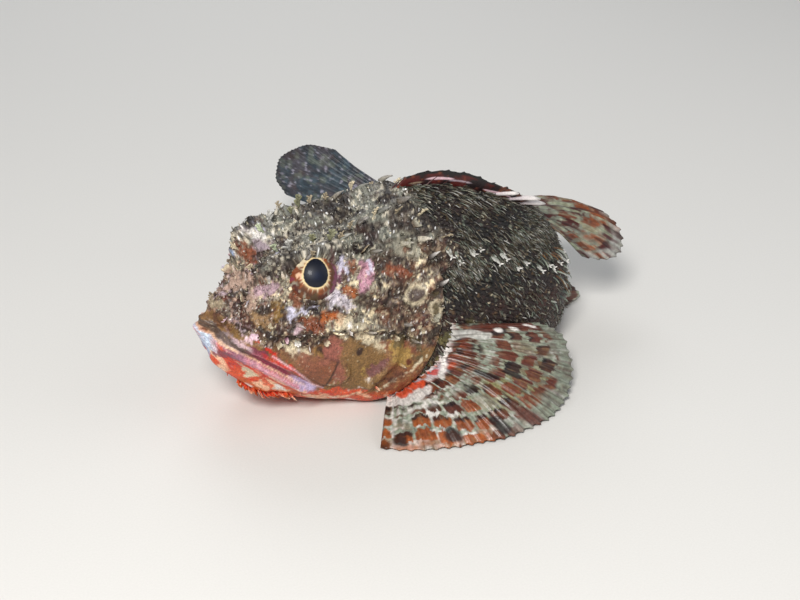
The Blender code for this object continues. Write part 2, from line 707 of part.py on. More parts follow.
def gape_height(s_mm, offset):
    line = np.array(shift_line(MOUTH_LINE, -offset))
    return float(np.interp(s_mm, line[:, 0], line[:, 1]))


def lip(name, offset, radii, rise):
    # One lip from corner to corner round the snout, beside the gape
    centres, outwards, halves = [], [], []
    for sign in (1, -1):
        rows = list(zip(LIP_STATIONS, radii))
        for s, radius in rows if sign == 1 else rows[::-1]:
            height = gape_height(s, offset)
            outward = outward_at(max(s, -2.0), height, sign)
            centres.append(local_point(s * MM, side_at(s, height) * sign * MM, height * MM) + outward * rise)
            outwards.append(outward)
            halves.append((radius * MM, radius * MM))
    return bead(name, centres, outwards, halves)


def jaw_plate(sign):
    # The smooth plate of the upper jaw, widest at its squared rear end
    outwards = [outward_at(s, height, sign) for s, height, _ in JAW_PLATE]
    centres = []
    for (s, height, _), outward in zip(JAW_PLATE, outwards):
        place = local_point(s * MM, side_at(s, height) * sign * MM, height * MM)
        centres.append(place + outward * JAW_PLATE_PROUD * MM)
    halves = [(wide * MM, JAW_PLATE_HALF * MM) for _, _, wide in JAW_PLATE]
    return bead(f"jaw_plate_{sign}", centres, outwards, halves)


def ring_on_skin(name, centre, axis, radius, half, points, skin, sign):
    # A raised rim round an axis, its middle line laid on the skin and evened out
    across = axis.orthogonal().normalized()
    other = axis.cross(across)
    ring = []
    for t in np.linspace(0, 2 * math.pi, points, endpoint=False):
        place = centre + (across * math.cos(t) + other * math.sin(t)) * radius
        s, side, height = nearest_on(skin, place, sign)
        found = local_point(s, side * sign, height)
        off = found - centre
        off -= axis * off.dot(axis)
        ring.append(found + off.normalized() * (radius - off.length))
    ring = np.array([tuple(p) for p in ring])
    for _ in range(3):
        ring = (np.roll(ring, 1, axis=0) + 2 * ring + np.roll(ring, -1, axis=0)) / 4
    return bead(name, ring, [axis] * points, [(half, half)] * points, closed=True)


def nearest_on(skin, place, sign):
    # The skin point on one side nearest to a place in the row frame, on the straight part of the fish
    wanted = np.array([place.x - LINE_X[0] + LINE_S[0], -place.y * sign, place.z])
    return skin[np.argmin(((skin - wanted) ** 2).sum(axis=1))]


def orbit_rim(sign, skin):
    s, side, height = EYE_CENTRE
    axis = local_vector(s * MM, EYE_AIM, sign).normalized()
    centre = local_point(s * MM, side * sign * MM, height * MM)
    return ring_on_skin(f"orbit_{sign}", centre + axis * EYE_RADIUS * ORBIT_DEPTH, axis, ORBIT_RADIUS * MM,
                        ORBIT_BEAD * MM, ORBIT_POINTS, skin, sign)


def nostril(k, sign, skin):
    # A raised rim and the pit inside it
    (place, radius) = NOSTRILS[k]
    s, side, height = settle([place], skin)[0]
    axis = local_vector(s, NOSTRIL_AIM, sign).normalized()
    centre = local_point(s, side * sign, height)
    rim = ring_on_skin(f"nostril_{sign}_{k}", centre, axis, radius * MM, NOSTRIL_BEAD * MM, NOSTRIL_POINTS,
                       skin, sign)
    pit = cone(f"pit_{sign}_{k}", centre + axis * MM, -axis, NOSTRIL_DEPTH * MM, radius * PIT_SHARE * MM,
               PIT_SIDES)
    return rim, pit


def ball(name, sign, radius, levels):
    bm = bmesh.new()
    bmesh.ops.create_icosphere(bm, subdivisions=levels, radius=radius)
    s, side, height = (v * MM for v in EYE_CENTRE)
    bmesh.ops.translate(bm, verts=bm.verts, vec=local_point(s, side * sign, height))
    mesh = bpy.data.meshes.new(name)
    bm.to_mesh(mesh)
    bm.free()
    obj = bpy.data.objects.new(name, mesh)
    bpy.context.scene.collection.objects.link(obj)
    return obj


def head_block(name, grow):
    stations = NOSE_START + (HEAD_REACH - NOSE_START) * np.linspace(0.0, 1, HEAD_STATIONS) ** 1.2
    stations[0] = NOSE_START + 0.04 * MM
    return loft(name, loft_points(stations, HEAD_AROUND, head_relief, grow))


def make_head(skin):
    # The head in front of the gill edge, with the lower jaw cut free along the mouth line
    head = head_block("head", 0)
    jaw = head.copy()
    jaw.data = head.data.copy()
    jaw.name = "lower_jaw"
    bpy.context.scene.collection.objects.link(jaw)
    half = GAP / MM / 2
    behind = shift_line(GILL_EDGE, half) + [(120, -6), (120, 76)]
    seam_above, seam_below = (mouth_outline(k) for k in (half, -half))
    nostrils = [nostril(k, sign, skin) for k in range(len(NOSTRILS)) for sign in (1, -1)]
    raised = [orbit_rim(1, skin), orbit_rim(-1, skin), jaw_plate(1), jaw_plate(-1)]
    raised += [rim for rim, _ in nostrils]
    raised.append(lip("upper_lip", *UPPER_LIP, UPPER_LIP_RISE))
    apply_boolean(head, "UNION", raised + spines_for(HEAD_SPINES, skin) + flaps_for(HEAD_FLAPS, skin))
    cutters = [prism("behind", behind, CUT_REACH), prism("under", seam_above, CUT_REACH)]
    cutters += [ball("socket", sign, EYE_RADIUS + SOCKET_GAP, EYE_LEVELS) for sign in (1, -1)]
    apply_boolean(head, "DIFFERENCE", cutters + [pit for _, pit in nostrils])
    apply_boolean(head, "DIFFERENCE", [trunk_block("clearance", GAP)])
    lower_lip = lip("lower_lip", -LOWER_LIP[0], LOWER_LIP[1], LOWER_LIP_RISE)
    apply_boolean(jaw, "UNION", [lower_lip] + flaps_for(JAW_FLAPS, skin))
    apply_boolean(jaw, "INTERSECT", [prism("mouth", seam_below, CUT_REACH)])
    return head, jaw


def mouth_outline(by_mm):
    # The region of the lower jaw in side view, grown by a distance
    line = shift_line(MOUTH_LINE, -by_mm)
    return line + [(JAW_BACK + by_mm, JAW_BACK_HEIGHT), (JAW_BACK + by_mm, -6), (-9, -6)]


def trunk_block(name, grow):
    # The plain body from the gill edge to its first split
    stations = np.linspace(TRUNK_REACH, TRUNK_END - GAP / 2, TRUNK_STATIONS)
    trunk = loft(name, loft_points(stations, AROUND, grow=grow))
    front = shift_line(GILL_EDGE, -GAP / MM / 2) + [(-20, -6), (-20, 76)]
    apply_boolean(trunk, "DIFFERENCE", [prism("front", front, CUT_REACH)])
    return trunk


def make_trunk():
    trunk = trunk_block("trunk", 0)
    apply_boolean(trunk, "UNION", flaps_for(line_flaps_between(70 * MM, TRUNK_END), PLAIN_SKIN))
    return trunk


def make_length(name, start, end, count, around):
    stations = np.linspace(start + GAP / 2, end - GAP / 2, count)
    rear = loft(name, loft_points(stations, around))
    apply_boolean(rear, "UNION", flaps_for(line_flaps_between(start, end), PLAIN_SKIN))
    return rear


def body_cutter():
    # The whole body grown by the gap, which seats the fins' roots face to face with it
    stations = np.linspace(NOSE_START + 1 * MM, STANDARD_LENGTH, 110)
    return loft("seat", loft_points(stations, AROUND, head_relief, GAP))


def fin_body(name, base, tip, bow, rays, rows, build):
    # A fin of rays and web: columns alternate between a ray and the web beside it, and both faces are split
    # into triangles alike. base, tip and bow give places at u from 0 to 1 along the fin.
    ray_half, web_half, notch = build
    columns = 2 * rays - 1
    vs = np.linspace(0, 1, rows)
    mid = np.zeros((columns, rows, 3))
    half = np.zeros((columns, rows))
    for c, u in enumerate(np.linspace(0, 1, columns)):
        start, end, belly = np.array(base(u)), np.array(tip(u)), np.array(bow(u))
        is_ray = c % 2 == 0
        w = vs if is_ray else vs * (1 - notch)
        mid[c] = start + np.outer(w, end - start) + np.outer(4 * w * (1 - w), belly)
        half[c] = ray_half * (1 - RAY_TAPER * vs) if is_ray else web_half * (1 - WEB_TAPER * vs)
    normal = np.cross(np.gradient(mid, axis=0), np.gradient(mid, axis=1))
    normal /= np.maximum(np.linalg.norm(normal, axis=-1, keepdims=True), 1e-12)
    upper = mid + normal * half[..., None]
    lower = mid - normal * half[..., None]
    if lower[..., 2].mean() > upper[..., 2].mean():
        upper, lower = lower, upper
    upper[..., 2] = np.maximum(upper[..., 2], 2 * web_half)
    lower[..., 2] = np.maximum(lower[..., 2], 0)
    vertices = list(upper.reshape(-1, 3)) + list(lower.reshape(-1, 3))
    under = columns * rows
    faces = []
    for c in range(columns - 1):
        for r in range(rows - 1):
            a, b = c * rows + r, c * rows + r + 1
            d, e = (c + 1) * rows + r, (c + 1) * rows + r + 1
            for shift in (0, under):
                faces += [(a + shift, b + shift, e + shift), (a + shift, e + shift, d + shift)]
    rim = [c * rows for c in range(columns)]
    rim += [(columns - 1) * rows + r for r in range(1, rows)]
    rim += [c * rows + rows - 1 for c in range(columns - 2, -1, -1)]
    rim += [r for r in range(rows - 2, 0, -1)]
    for k, a in enumerate(rim):
        b = rim[(k + 1) % len(rim)]
        faces += [(a, b, b + under), (a, b + under, a + under)]
    obj = mesh_object(name, vertices, faces)
    face_outwards(obj)
    return obj


def bow_places(rows, sign):
    # The bow of the rays as (towards the tail, outwards, up) in mm, taken as plain directions
    return even([(b[0] * MM, -b[1] * sign * MM, b[2] * MM) for b in rows])


def no_bow(u):
    return (0, 0, 0)


def pectoral(name, tips, bow, sign):
    fin = fin_body(name, even(straight_place(PECTORAL_ROOTS, sign)), through(straight_place(tips, sign)),
                   bow_places(bow, sign), PECTORAL_RAYS, FIN_ROWS, PECTORAL_BUILD)
    apply_boolean(fin, "DIFFERENCE", [body_cutter()])
    return fin


def spiny_dorsal():
    # A low web with the spines lying back in it, their tips free
    def station(u):
        return SPINY_START + (SPINY_END - SPINY_START) * u

    def base(u):
        return ridge_place(station(u), SUNK)

    def tip(u):
        aim = ridge_aim(station(u), WEB_RISE, along_table(DORSAL_LEAN, u))
        return base(u) + aim * (along_table(WEB_LENGTHS, u) * MM)

    fin = fin_body("spiny_dorsal_fin", base, tip, no_bow, SPINE_COUNT, SPINY_ROWS, SPINY_BUILD)
    spines = []
    for k in range(SPINE_COUNT):
        u = k / (SPINE_COUNT - 1)
        offset = frame_at(station(u))[2] * (SPINE_STAGGER * (1 if k % 2 else -1))
        aim = ridge_aim(station(u), SPINE_RISE, along_table(DORSAL_LEAN, u))
        length = along_table(SPINE_LENGTHS, u) * MM
        spines.append(cone(f"dorsal_spine_{k}", base(u) + offset, aim, length, DORSAL_SPINE_RADIUS,
                           DORSAL_SPINE_SIDES))
    apply_boolean(fin, "UNION", spines)
    apply_boolean(fin, "DIFFERENCE", [body_cutter()])
    return fin


def soft_dorsal():
    def base(u):
        return ridge_place(SOFT_START + (SOFT_END - SOFT_START) * u, SUNK)

    fin = fin_body("soft_dorsal_fin", base, through(straight_place(SOFT_TIPS)), bow_places(SOFT_BOW, 0),
                   SOFT_RAYS, FIN_ROWS, SOFT_BUILD)
    apply_boolean(fin, "DIFFERENCE", [body_cutter()])
    return fin


def tail_fin():
    place, back, left = frame_at(STANDARD_LENGTH)

    def at(points, sway):
        return [tuple(place - Vector((0, 0, place.z)) + back * x * MM + left * (sway * MM * x / 40)
                      + Vector((0, 0, z * MM))) for x, z in points]

    def bow(u):
        return left * TAIL_BOW

    fin = fin_body("tail_fin", even(at(TAIL_ROOTS, 0)), through(at(TAIL_TIPS, TAIL_SWAY)), bow,
                   TAIL_RAYS, FIN_ROWS, TAIL_BUILD)
    apply_boolean(fin, "DIFFERENCE", [body_cutter()])
    return fin


def flat_fin(name, roots, tips, rays, sign):
    fin = fin_body(name, even(straight_place(roots, sign)), through(straight_place(tips, sign)), no_bow,
                   rays, FIN_ROWS, FLAT_BUILD)
    apply_boolean(fin, "DIFFERENCE", [body_cutter()])
    return fin


def brow_tentacle(name, sign, skin):
    s, side, height = settle([BROW_ROOT], skin)[0]
    root = local_point(s, side * sign, height + SUNK)
    facing = local_vector(s, BROW_FACING, sign)
    length, width = BROW_STEM
    stem = flap(name, root, local_vector(s, BROW_AIM, sign), length * MM, width * MM, facing)
    fringes = []
    for k, (lean, reach) in enumerate(BROW_FRINGES):
        aim = local_vector(s, (lean, *BROW_AIM[1:]), sign)
        fringes.append(flap(f"fringe_{k}", root, aim, reach * MM, BROW_FRINGE_WIDTH, facing))
    apply_boolean(stem, "UNION", fringes)
    apply_boolean(stem, "DIFFERENCE", [head_block("seat", GAP)])
    return stem


def paint(obj, rgb, roughness):
    material = bpy.data.materials.new(obj.name)
    material.use_nodes = True
    shader = material.node_tree.nodes["Principled BSDF"]
    shader.inputs["Base Color"].default_value = (*rgb, 1)
    shader.inputs["Roughness"].default_value = roughness
    shader.inputs["Metallic"].default_value = 0
    obj.data.materials.clear()
    obj.data.materials.append(material)
    obj.data.shade_smooth()
    obj.data.set_sharp_from_angle(angle=math.radians(35))


HEAD_BROWN = (0.36, 0.20, 0.12)
JAW_PINK = (0.72, 0.28, 0.20)
BODY_BROWN = (0.16, 0.12, 0.09)
FIN_RED = (0.42, 0.18, 0.12)
EYE_DARK = (0.03, 0.05, 0.12)


def centre_on_floor(objects):
    # The origin is the middle of the bounding box, on the floor
    corners = np.concatenate([np.array([tuple(v.co) for v in o.data.vertices]) for o in objects])
    low, high = corners.min(axis=0), corners.max(axis=0)
    for o in objects:
        o.location = Vector((-(low[0] + high[0]) / 2, -(low[1] + high[1]) / 2, -low[2]))


def main():
    for obj in list(bpy.data.objects):
        bpy.data.objects.remove(obj)
    skin = head_skin()
    head, jaw = make_head(skin)
    body = [
        make_trunk(),
        make_length("rear_body", TRUNK_END, REAR_END, 10, REAR_AROUND),
        make_length("tail_stalk", REAR_END, STANDARD_LENGTH, 10, STALK_AROUND),
    ]
    eyes = [ball("eye_left", 1, EYE_RADIUS, EYE_LEVELS), ball("eye_right", -1, EYE_RADIUS, EYE_LEVELS)]
    fins = [
        pectoral("pectoral_fin_left", LEFT_TIPS, LEFT_BOW, 1),
        pectoral("pectoral_fin_right", RIGHT_TIPS, RIGHT_BOW, -1),
        spiny_dorsal(),
        soft_dorsal(),
        tail_fin(),
        flat_fin("anal_fin", ANAL_ROOTS, ANAL_TIPS, ANAL_RAYS, 1),
        flat_fin("pelvic_fin_left", PELVIC_ROOTS, PELVIC_TIPS, PELVIC_RAYS, 1),
        flat_fin("pelvic_fin_right", PELVIC_ROOTS, PELVIC_TIPS, PELVIC_RAYS, -1),
    ]
    tentacles = [
        brow_tentacle("brow_tentacle_left", 1, skin),
        brow_tentacle("brow_tentacle_right", -1, skin),
    ]
    for obj in (head, *tentacles):
        paint(obj, HEAD_BROWN, 0.6)
    paint(jaw, JAW_PINK, 0.5)
    for obj in body:
        paint(obj, BODY_BROWN, 0.65)
    for obj in fins:
        paint(obj, FIN_RED, 0.55)
    for obj in eyes:
        paint(obj, EYE_DARK, 0.1)
    centre_on_floor([head, jaw, *body, *eyes, *fins, *tentacles])


main()
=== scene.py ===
import math
import bmesh
import bpy
import numpy as np
from mathutils import Matrix, Vector
from mathutils.bvhtree import BVHTree


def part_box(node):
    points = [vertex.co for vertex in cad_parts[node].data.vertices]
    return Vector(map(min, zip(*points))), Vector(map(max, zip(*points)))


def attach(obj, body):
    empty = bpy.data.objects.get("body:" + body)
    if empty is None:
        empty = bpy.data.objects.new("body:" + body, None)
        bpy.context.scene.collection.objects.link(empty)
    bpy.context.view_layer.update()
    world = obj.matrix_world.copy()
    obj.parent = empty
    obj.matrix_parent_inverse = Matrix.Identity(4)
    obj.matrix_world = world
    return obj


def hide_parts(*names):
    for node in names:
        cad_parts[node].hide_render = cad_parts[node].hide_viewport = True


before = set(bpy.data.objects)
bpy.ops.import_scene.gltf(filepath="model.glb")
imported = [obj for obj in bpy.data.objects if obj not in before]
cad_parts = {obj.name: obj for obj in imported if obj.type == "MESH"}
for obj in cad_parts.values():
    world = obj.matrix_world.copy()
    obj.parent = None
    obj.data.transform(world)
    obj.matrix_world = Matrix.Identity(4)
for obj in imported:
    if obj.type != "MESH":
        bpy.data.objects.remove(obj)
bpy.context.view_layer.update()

# Black scorpionfish: the painted looks of a life-size cast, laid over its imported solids.
# Straight-fish places are (station, side, height) in millimetres. Station runs from the tip of the upper jaw
# towards the tail, side is positive on the fish's left, height is above the floor. The line is then bent.
mm = 0.001

# Airbrushed colours as sRGB hex, by name
paints = {
    "white": "#efe9e4", "cream": "#d6c8aa", "palePeach": "#f0c6a4", "beige": "#a99a80", "beigePink": "#b39686",
    "lilacGrey": "#b09fa8", "lilacPink": "#bfa0ae", "lilacWhite": "#cdc5cf", "paleLavender": "#cfcbdf",
    "lavender": "#b9a9cb", "lavenderPink": "#c08c9f", "pinkWhite": "#e6c3cc", "rose": "#d98592",
    "mauve": "#7f4a63", "plum": "#7c3247", "paleBlue": "#9fb4d8", "skyWhite": "#cfdcee", "blueEdge": "#4b5da6",
    "signalRed": "#c9260f", "red": "#bd2f2c", "orangeRed": "#d9512b", "orange": "#ac5a24", "rust": "#7f4124",
    "brick": "#5e2b1d", "redBrown": "#4c291d", "darkRust": "#5c2410", "ochre": "#85652f", "ochreYellow": "#a38447",
    "tan": "#9c7a52", "oliveTan": "#7c5d36", "olive": "#51452a", "warmBrown": "#7f4c33", "rosyBrown": "#93574a",
    "mauveBrown": "#6f4444", "maroonBrown": "#4f2622", "brown": "#553522", "darkBrown": "#301b13",
    "maroon": "#4a1a20", "blackMaroon": "#1b0d10", "black": "#100c0c", "flankBlack": "#0f0b0b",
    "flankMaroon": "#1f0d0c", "taupe": "#564842", "greenBeige": "#8b8a6c", "paleGreen": "#b7c0a0",
    "greyGreen": "#a3ab98", "greyWhite": "#c4c2bc", "bellyPale": "#b08d7c", "teal": "#2a3a38", "gold": "#f1d9a6",
    "navy": "#050b1c", "pupilReflectionNavy": "#102447", "eyeOrange": "#8f4d28", "greyPurple": "#4c474f",
    "darkRed": "#4f1613", "greyBeige": "#a29e8d", "greyBrown": "#6b5d50",
    "blueGrey": "#465763", "khaki": "#8a8350", "umber": "#74472c", "slate": "#2f3c47", "mossGrey": "#7f8878",
    "magenta": "#8f3350",
}


def linear(code):
    parts = [int(code[k:k + 2], 16) / 255 for k in (1, 3, 5)]
    return np.array([p / 12.92 if p <= 0.04045 else ((p + 0.055) / 1.055) ** 2.4 for p in parts])


tones = {name: linear(code) for name, code in paints.items()}

# The plain body: station, back, belly and widest heights, half width
bodyProfile = np.array([
    (-3.4, 34.5, 23.5, 29.0, 7.4), (0, 36, 20, 28.5, 9.6), (3, 38, 17.5, 27.5, 11.4), (7, 41.5, 14, 26.5, 13.4),
    (13, 47.5, 8.8, 25, 15.8), (20, 53, 4.4, 23.5, 17.4), (27, 55.5, 2, 22.5, 18.6), (36, 57.5, 0.3, 21.5, 19.8),
    (45, 60, -0.5, 20.5, 21.2), (54, 62.5, -0.6, 20.5, 22.4), (64, 64, -0.6, 21, 22.6), (75, 63, -0.6, 21.5, 21.8),
    (90, 58, -0.6, 20.5, 20), (105, 50, -0.5, 19.5, 17.5), (120, 42.5, 0.6, 18.5, 14), (135, 35.5, 2.2, 17, 10.5),
    (150, 30, 4, 16, 7.6), (165, 26.5, 5.6, 15.8, 5.6), (177, 25.2, 6.2, 15.8, 4.4), (184, 24, 7.6, 15.8, 2.2),
])
# Station, squareness of the section above and below its widest line
sectionShape = np.array([
    (-3.4, 2.3, 2.0), (5, 2.6, 2.1), (13, 3.0, 2.3), (30, 3.0, 2.7), (45, 2.4, 3.0), (60, 1.9, 3.0),
    (75, 1.75, 2.9), (105, 1.7, 2.8), (138, 1.8, 2.2), (184, 2.0, 2.0),
])
bodyLine = {"bendStart": 77, "bendEnd": 149, "bendDegrees": 122, "bendSkew": 1.1, "liftStart": 118,
            "liftEnd": 178, "tailLift": 6, "noseStart": -3.4, "noseRound": 9, "tailRound": 180.5, "tailEnd": 183.5}


def smoothStep(x):
    x = np.clip(x, 0, 1)
    return x * x * (3 - 2 * x)


def bell(x, width):
    return np.exp(-((x / width) ** 2))


def unit(vectors):
    return vectors / np.maximum(np.linalg.norm(vectors, axis=-1, keepdims=True), 1e-9)


def smoothCurve(xs, ys, x):
    # A smooth curve through the points that never swings past them
    h = np.diff(xs)
    slope = np.diff(ys) / h
    tangent = np.zeros(len(xs))
    rising = slope[:-1] * slope[1:] > 0
    a, b = 2 * h[1:] + h[:-1], h[1:] + 2 * h[:-1]
    first, second = np.where(rising, slope[:-1], 1.0), np.where(rising, slope[1:], 1.0)
    tangent[1:-1] = np.where(rising, (a + b) / (a / first + b / second), 0.0)
    tangent[0], tangent[-1] = slope[0], slope[-1]
    x = np.clip(x, xs[0], xs[-1])
    i = np.clip(np.searchsorted(xs, x, side="right") - 1, 0, len(h) - 1)
    t = (x - xs[i]) / h[i]
    return (ys[i] * (1 + 2 * t) * (1 - t) ** 2 + ys[i + 1] * t * t * (3 - 2 * t)
            + h[i] * tangent[i] * t * (1 - t) ** 2 - h[i] * tangent[i + 1] * t * t * (1 - t))


lineS = np.arange(-30, 260, 0.25)
lineShare = np.clip((lineS - bodyLine["bendStart"]) / (bodyLine["bendEnd"] - bodyLine["bendStart"]), 0, 1)
lineTurn = math.radians(bodyLine["bendDegrees"]) * smoothStep(lineShare ** bodyLine["bendSkew"])
lineGap = np.diff(lineS, prepend=lineS[0])
lineX = lineS[0] + np.cumsum(np.cos(lineTurn) * lineGap)
lineY = np.cumsum(np.sin(lineTurn) * lineGap)
eyeball = {"centre": (29.5, 12.3, 45.7), "radius": 8.0, "aim": (-0.07, 0.81, 0.58),
           "opening": (7.7, 6.3)}


def bentMm(points):
    s, side, height = points[..., 0], points[..., 1], points[..., 2]
    turn = np.interp(s, lineS, lineTurn)
    rise = bodyLine["tailLift"] * smoothStep((s - bodyLine["liftStart"])
                                             / (bodyLine["liftEnd"] - bodyLine["liftStart"]))
    x = np.interp(s, lineS, lineX) + side * np.sin(turn)
    y = np.interp(s, lineS, lineY) - side * np.cos(turn)
    return np.stack([x, y, height + rise], axis=-1)


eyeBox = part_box("eye_left")
shift = np.array((eyeBox[0] + eyeBox[1]) / 2) - bentMm(np.array(eyeball["centre"])) * mm


def bend(points):
    # Straight-fish places in mm to the frame's places in metres
    return bentMm(np.asarray(points, float)) * mm + shift


print("camera")
scene = bpy.context.scene
# The photo's viewing angle in degrees, the lens, and the pixel where one place of the fish shows, at a distance in m
studio = {"azimuth": -22, "elevation": 28, "lens": 62.78, "sensor": 36, "picture": (800, 600),
          "reference": (30.5, 9.9, 45), "pixel": (312, 275), "distance": 0.41}


def aimedCamera():
    a, e = math.radians(studio["azimuth"]), math.radians(studio["elevation"])
    back = Vector((math.sin(a) * math.cos(e), -math.cos(a) * math.cos(e), math.sin(e)))
    right = Vector((math.cos(a), math.sin(a), 0))
    up = back.cross(right)
    wide, high = studio["picture"]
    focal = studio["lens"] / studio["sensor"] * wide
    x = (studio["pixel"][0] - wide / 2) / focal * studio["distance"]
    y = (high / 2 - studio["pixel"][1]) / focal * studio["distance"]
    place = Vector(bend(np.array(studio["reference"], float))) - right * x - up * y + back * studio["distance"]
    data = bpy.data.cameras.new("studioCamera")
    data.sensor_width = studio["sensor"]
    data.lens = studio["lens"]
    camera = bpy.data.objects.new("studioCamera", data)
    scene.collection.objects.link(camera)
    camera.matrix_world = Matrix.Translation(place) @ Matrix((right, up, back)).transposed().to_4x4()
    scene.camera = camera


aimedCamera()


def profileAt(k, s):
    return smoothCurve(bodyProfile[:, 0], bodyProfile[:, k], s)


def sectionPoints(s, angle):
    # The plain body, angle 0 on the left, a quarter turn on top
    back, belly, mid, half = (profileAt(k, s) for k in (1, 2, 3, 4))
    nose = np.sqrt(1 - (1 - np.clip((s - bodyLine["noseStart"]) / bodyLine["noseRound"], 0, 1)) ** 2)
    tail = np.clip((s - bodyLine["tailRound"]) / (bodyLine["tailEnd"] - bodyLine["tailRound"]), 0, 1)
    close = nose * np.sqrt(1 - tail ** 2)
    above = smoothCurve(sectionShape[:, 0], sectionShape[:, 1], s)
    below = smoothCurve(sectionShape[:, 0], sectionShape[:, 2], s)
    power = 2 / np.where(np.sin(angle) > 0, above, below)
    reach = np.where(np.sin(angle) > 0, back - mid, mid - belly) * close
    side = half * close * np.sign(np.cos(angle)) * np.abs(np.cos(angle)) ** power
    height = mid + reach * np.sign(np.sin(angle)) * np.abs(np.sin(angle)) ** power
    return np.stack([s + 0 * angle, side, height], axis=-1)


def hashed(cells, seed):
    # A repeatable number from 0 to 1 for each whole-number cell
    c = cells.astype(np.int64).astype(np.uint32)
    n = c[..., 0] * np.uint32(73856093) ^ c[..., 1] * np.uint32(19349663) ^ c[..., 2] * np.uint32(83492791)
    n = (n ^ np.uint32(seed * 7919 + 13)) * np.uint32(2654435761)
    n = (n ^ (n >> np.uint32(15))) * np.uint32(2246822519)
    n = (n ^ (n >> np.uint32(13))) * np.uint32(3266489917)
    return (n ^ (n >> np.uint32(16))) / 4294967295.0


def noiseAt(points, size, seed):
    # Smooth noise from -1 to 1 with blobs of about this size in mm
    q = points / size + seed * 3.7
    base = np.floor(q)
    t = q - base
    t = t * t * (3 - 2 * t)
    total = np.zeros(points.shape[:-1])
    for corner in range(8):
        step = np.array([corner & 1, corner >> 1 & 1, corner >> 2 & 1])
        total += np.prod(np.where(step, t, 1 - t), axis=-1) * hashed(base + step, seed)
    return total * 2 - 1


def fractalAt(points, size, seed, layers=3):
    total = sum(noiseAt(points, size / 2 ** k, seed + k) / 2 ** k for k in range(layers))
    return total / (2 - 0.5 ** (layers - 1))


def cellsAt(points, size, seed):
    # Distance to the nearest and second nearest of scattered middles, and a number for the nearest one
    q = points / size
    base = np.floor(q)
    near = np.full(points.shape[:-1], 9.0)
    second = near.copy()
    mark = np.zeros(points.shape[:-1])
    for corner in range(27):
        cell = base + np.array([corner % 3 - 1, corner // 3 % 3 - 1, corner // 9 - 1])
        middle = cell + np.stack([hashed(cell, seed + k) for k in range(3)], axis=-1)
        d = np.linalg.norm(q - middle, axis=-1)
        closer = d < near
        second = np.where(closer, near, np.minimum(second, d))
        mark = np.where(closer, hashed(cell, seed + 3), mark)
        near = np.where(closer, d, near)
    return near, second, mark


def lineDistance(points, line, along=False):
    # Distance to a line of straight pieces, or to its one point, and how far along it the nearest place is
    line = np.asarray(line, float)
    if len(line) == 1:
        best = np.linalg.norm(points - line[0], axis=-1)
        return (best, np.zeros(best.shape)) if along else best
    best = np.full(points.shape[:-1], 1e9)
    share = np.zeros(points.shape[:-1])
    for k, (a, b) in enumerate(zip(line[:-1], line[1:])):
        step = b - a
        t = np.clip(((points - a) @ step) / (step @ step), 0, 1)
        d = np.linalg.norm(points - (a + t[..., None] * step), axis=-1)
        share = np.where(d < best, k + t, share)
        best = np.minimum(best, d)
    return (best, share) if along else best


# Raised lines of the head on its left side: points, height, half width
headRidges = [
    ([(18, 10, 47), (22, 13, 52), (28, 14.5, 54.5), (34, 14.5, 55), (40, 13, 55)], 3.0, 2.4),
    ([(15, 15, 33), (24, 18, 32), (34, 19.5, 31), (44, 21, 30), (51, 22, 29.5)], 2.2, 1.7),
    ([(47, 20, 42), (52, 22, 35), (53.5, 22.4, 27), (51, 22, 18), (44, 20, 10)], 1.8, 1.7),
    ([(53, 20, 43), (59, 21, 46), (66, 20.5, 50)], 1.8, 1.4),
    ([(53, 22, 37), (60, 22.4, 39), (67, 21.8, 42)], 1.5, 1.4),
    ([(42, 11, 57), (48, 10, 60), (54, 9, 62.5), (60, 8.5, 64)], 2.0, 1.9),
    ([(41, 16, 50), (50, 17, 53), (59, 17, 54), (66, 16.5, 54)], 1.6, 1.8),
    ([(8, 13.5, 30), (15, 15.5, 29)], 1.3, 2.4),
    ([(9, 14.3, 27.5), (15, 16.2, 25), (22, 17.8, 21.5), (32, 19.4, 17.5)], 0.7, 3.2),
    ([(2, 10.3, 27.2), (6.3, 13.2, 24), (17, 16.2, 16.4), (25, 17.4, 10)], 1.0, 2.4),
    ([(12, 9.5, 47), (15, 11.5, 50), (19, 12, 52.5)], 2.8, 3.2),
    ([(1, 5, 20), (4.5, 6.5, 17), (9, 8, 13.5), (13.5, 9.5, 10)], 2.0, 3.4),
    ([(22, 13.5, 53.5), (28, 15, 55.5), (34, 15, 55.5)], 1.4, 2.0),
    ([(38, 17.5, 46), (46, 19, 42), (56, 20.5, 41)], 1.1, 2.2),
]
headHollows = [
    ([(16, 0, 50), (24, 0, 54), (32, 0, 56.5), (40, 0, 58.5)], 2.6, 5.0),
    ([(43, 0, 60), (50, 0, 62)], 2.2, 5.0),
    ([(42, 17.5, 47), (46, 19, 45)], 1.0, 2.5),
    ([(43.5, 14, 54), (46, 14, 54)], 1.3, 1.8),
    ([(58.5, 22.5, 38.3)], 0.7, 1.6),
    ([(-2, 6, 33), (1, 9, 34), (3.5, 10.5, 35.5), (5, 9, 38), (6.5, 6, 42), (9, 6, 45)], 4.0, 4.0),
    ([(18, 14.5, 42), (19, 16, 38)], 1.0, 2.4),
    ([(42, 19.5, 38), (48, 20.5, 34)], 0.9, 2.6),
    ([(60, 20, 47), (64, 20.5, 46)], 0.8, 2.0),
]
mouth = {
    "line": [(-9, 31.2), (-4, 30.8), (0, 29.4), (6.3, 26.2), (12, 22.4), (17, 18.8), (22, 14.8), (26, 11.4),
             (31, 8.2)],
    "depth": 0.7, "slit": 0.8, "upperLip": (1.0, 2.6, 0.8), "lowerLip": (0.9, 0.9, 0.9), "end": 27,
}
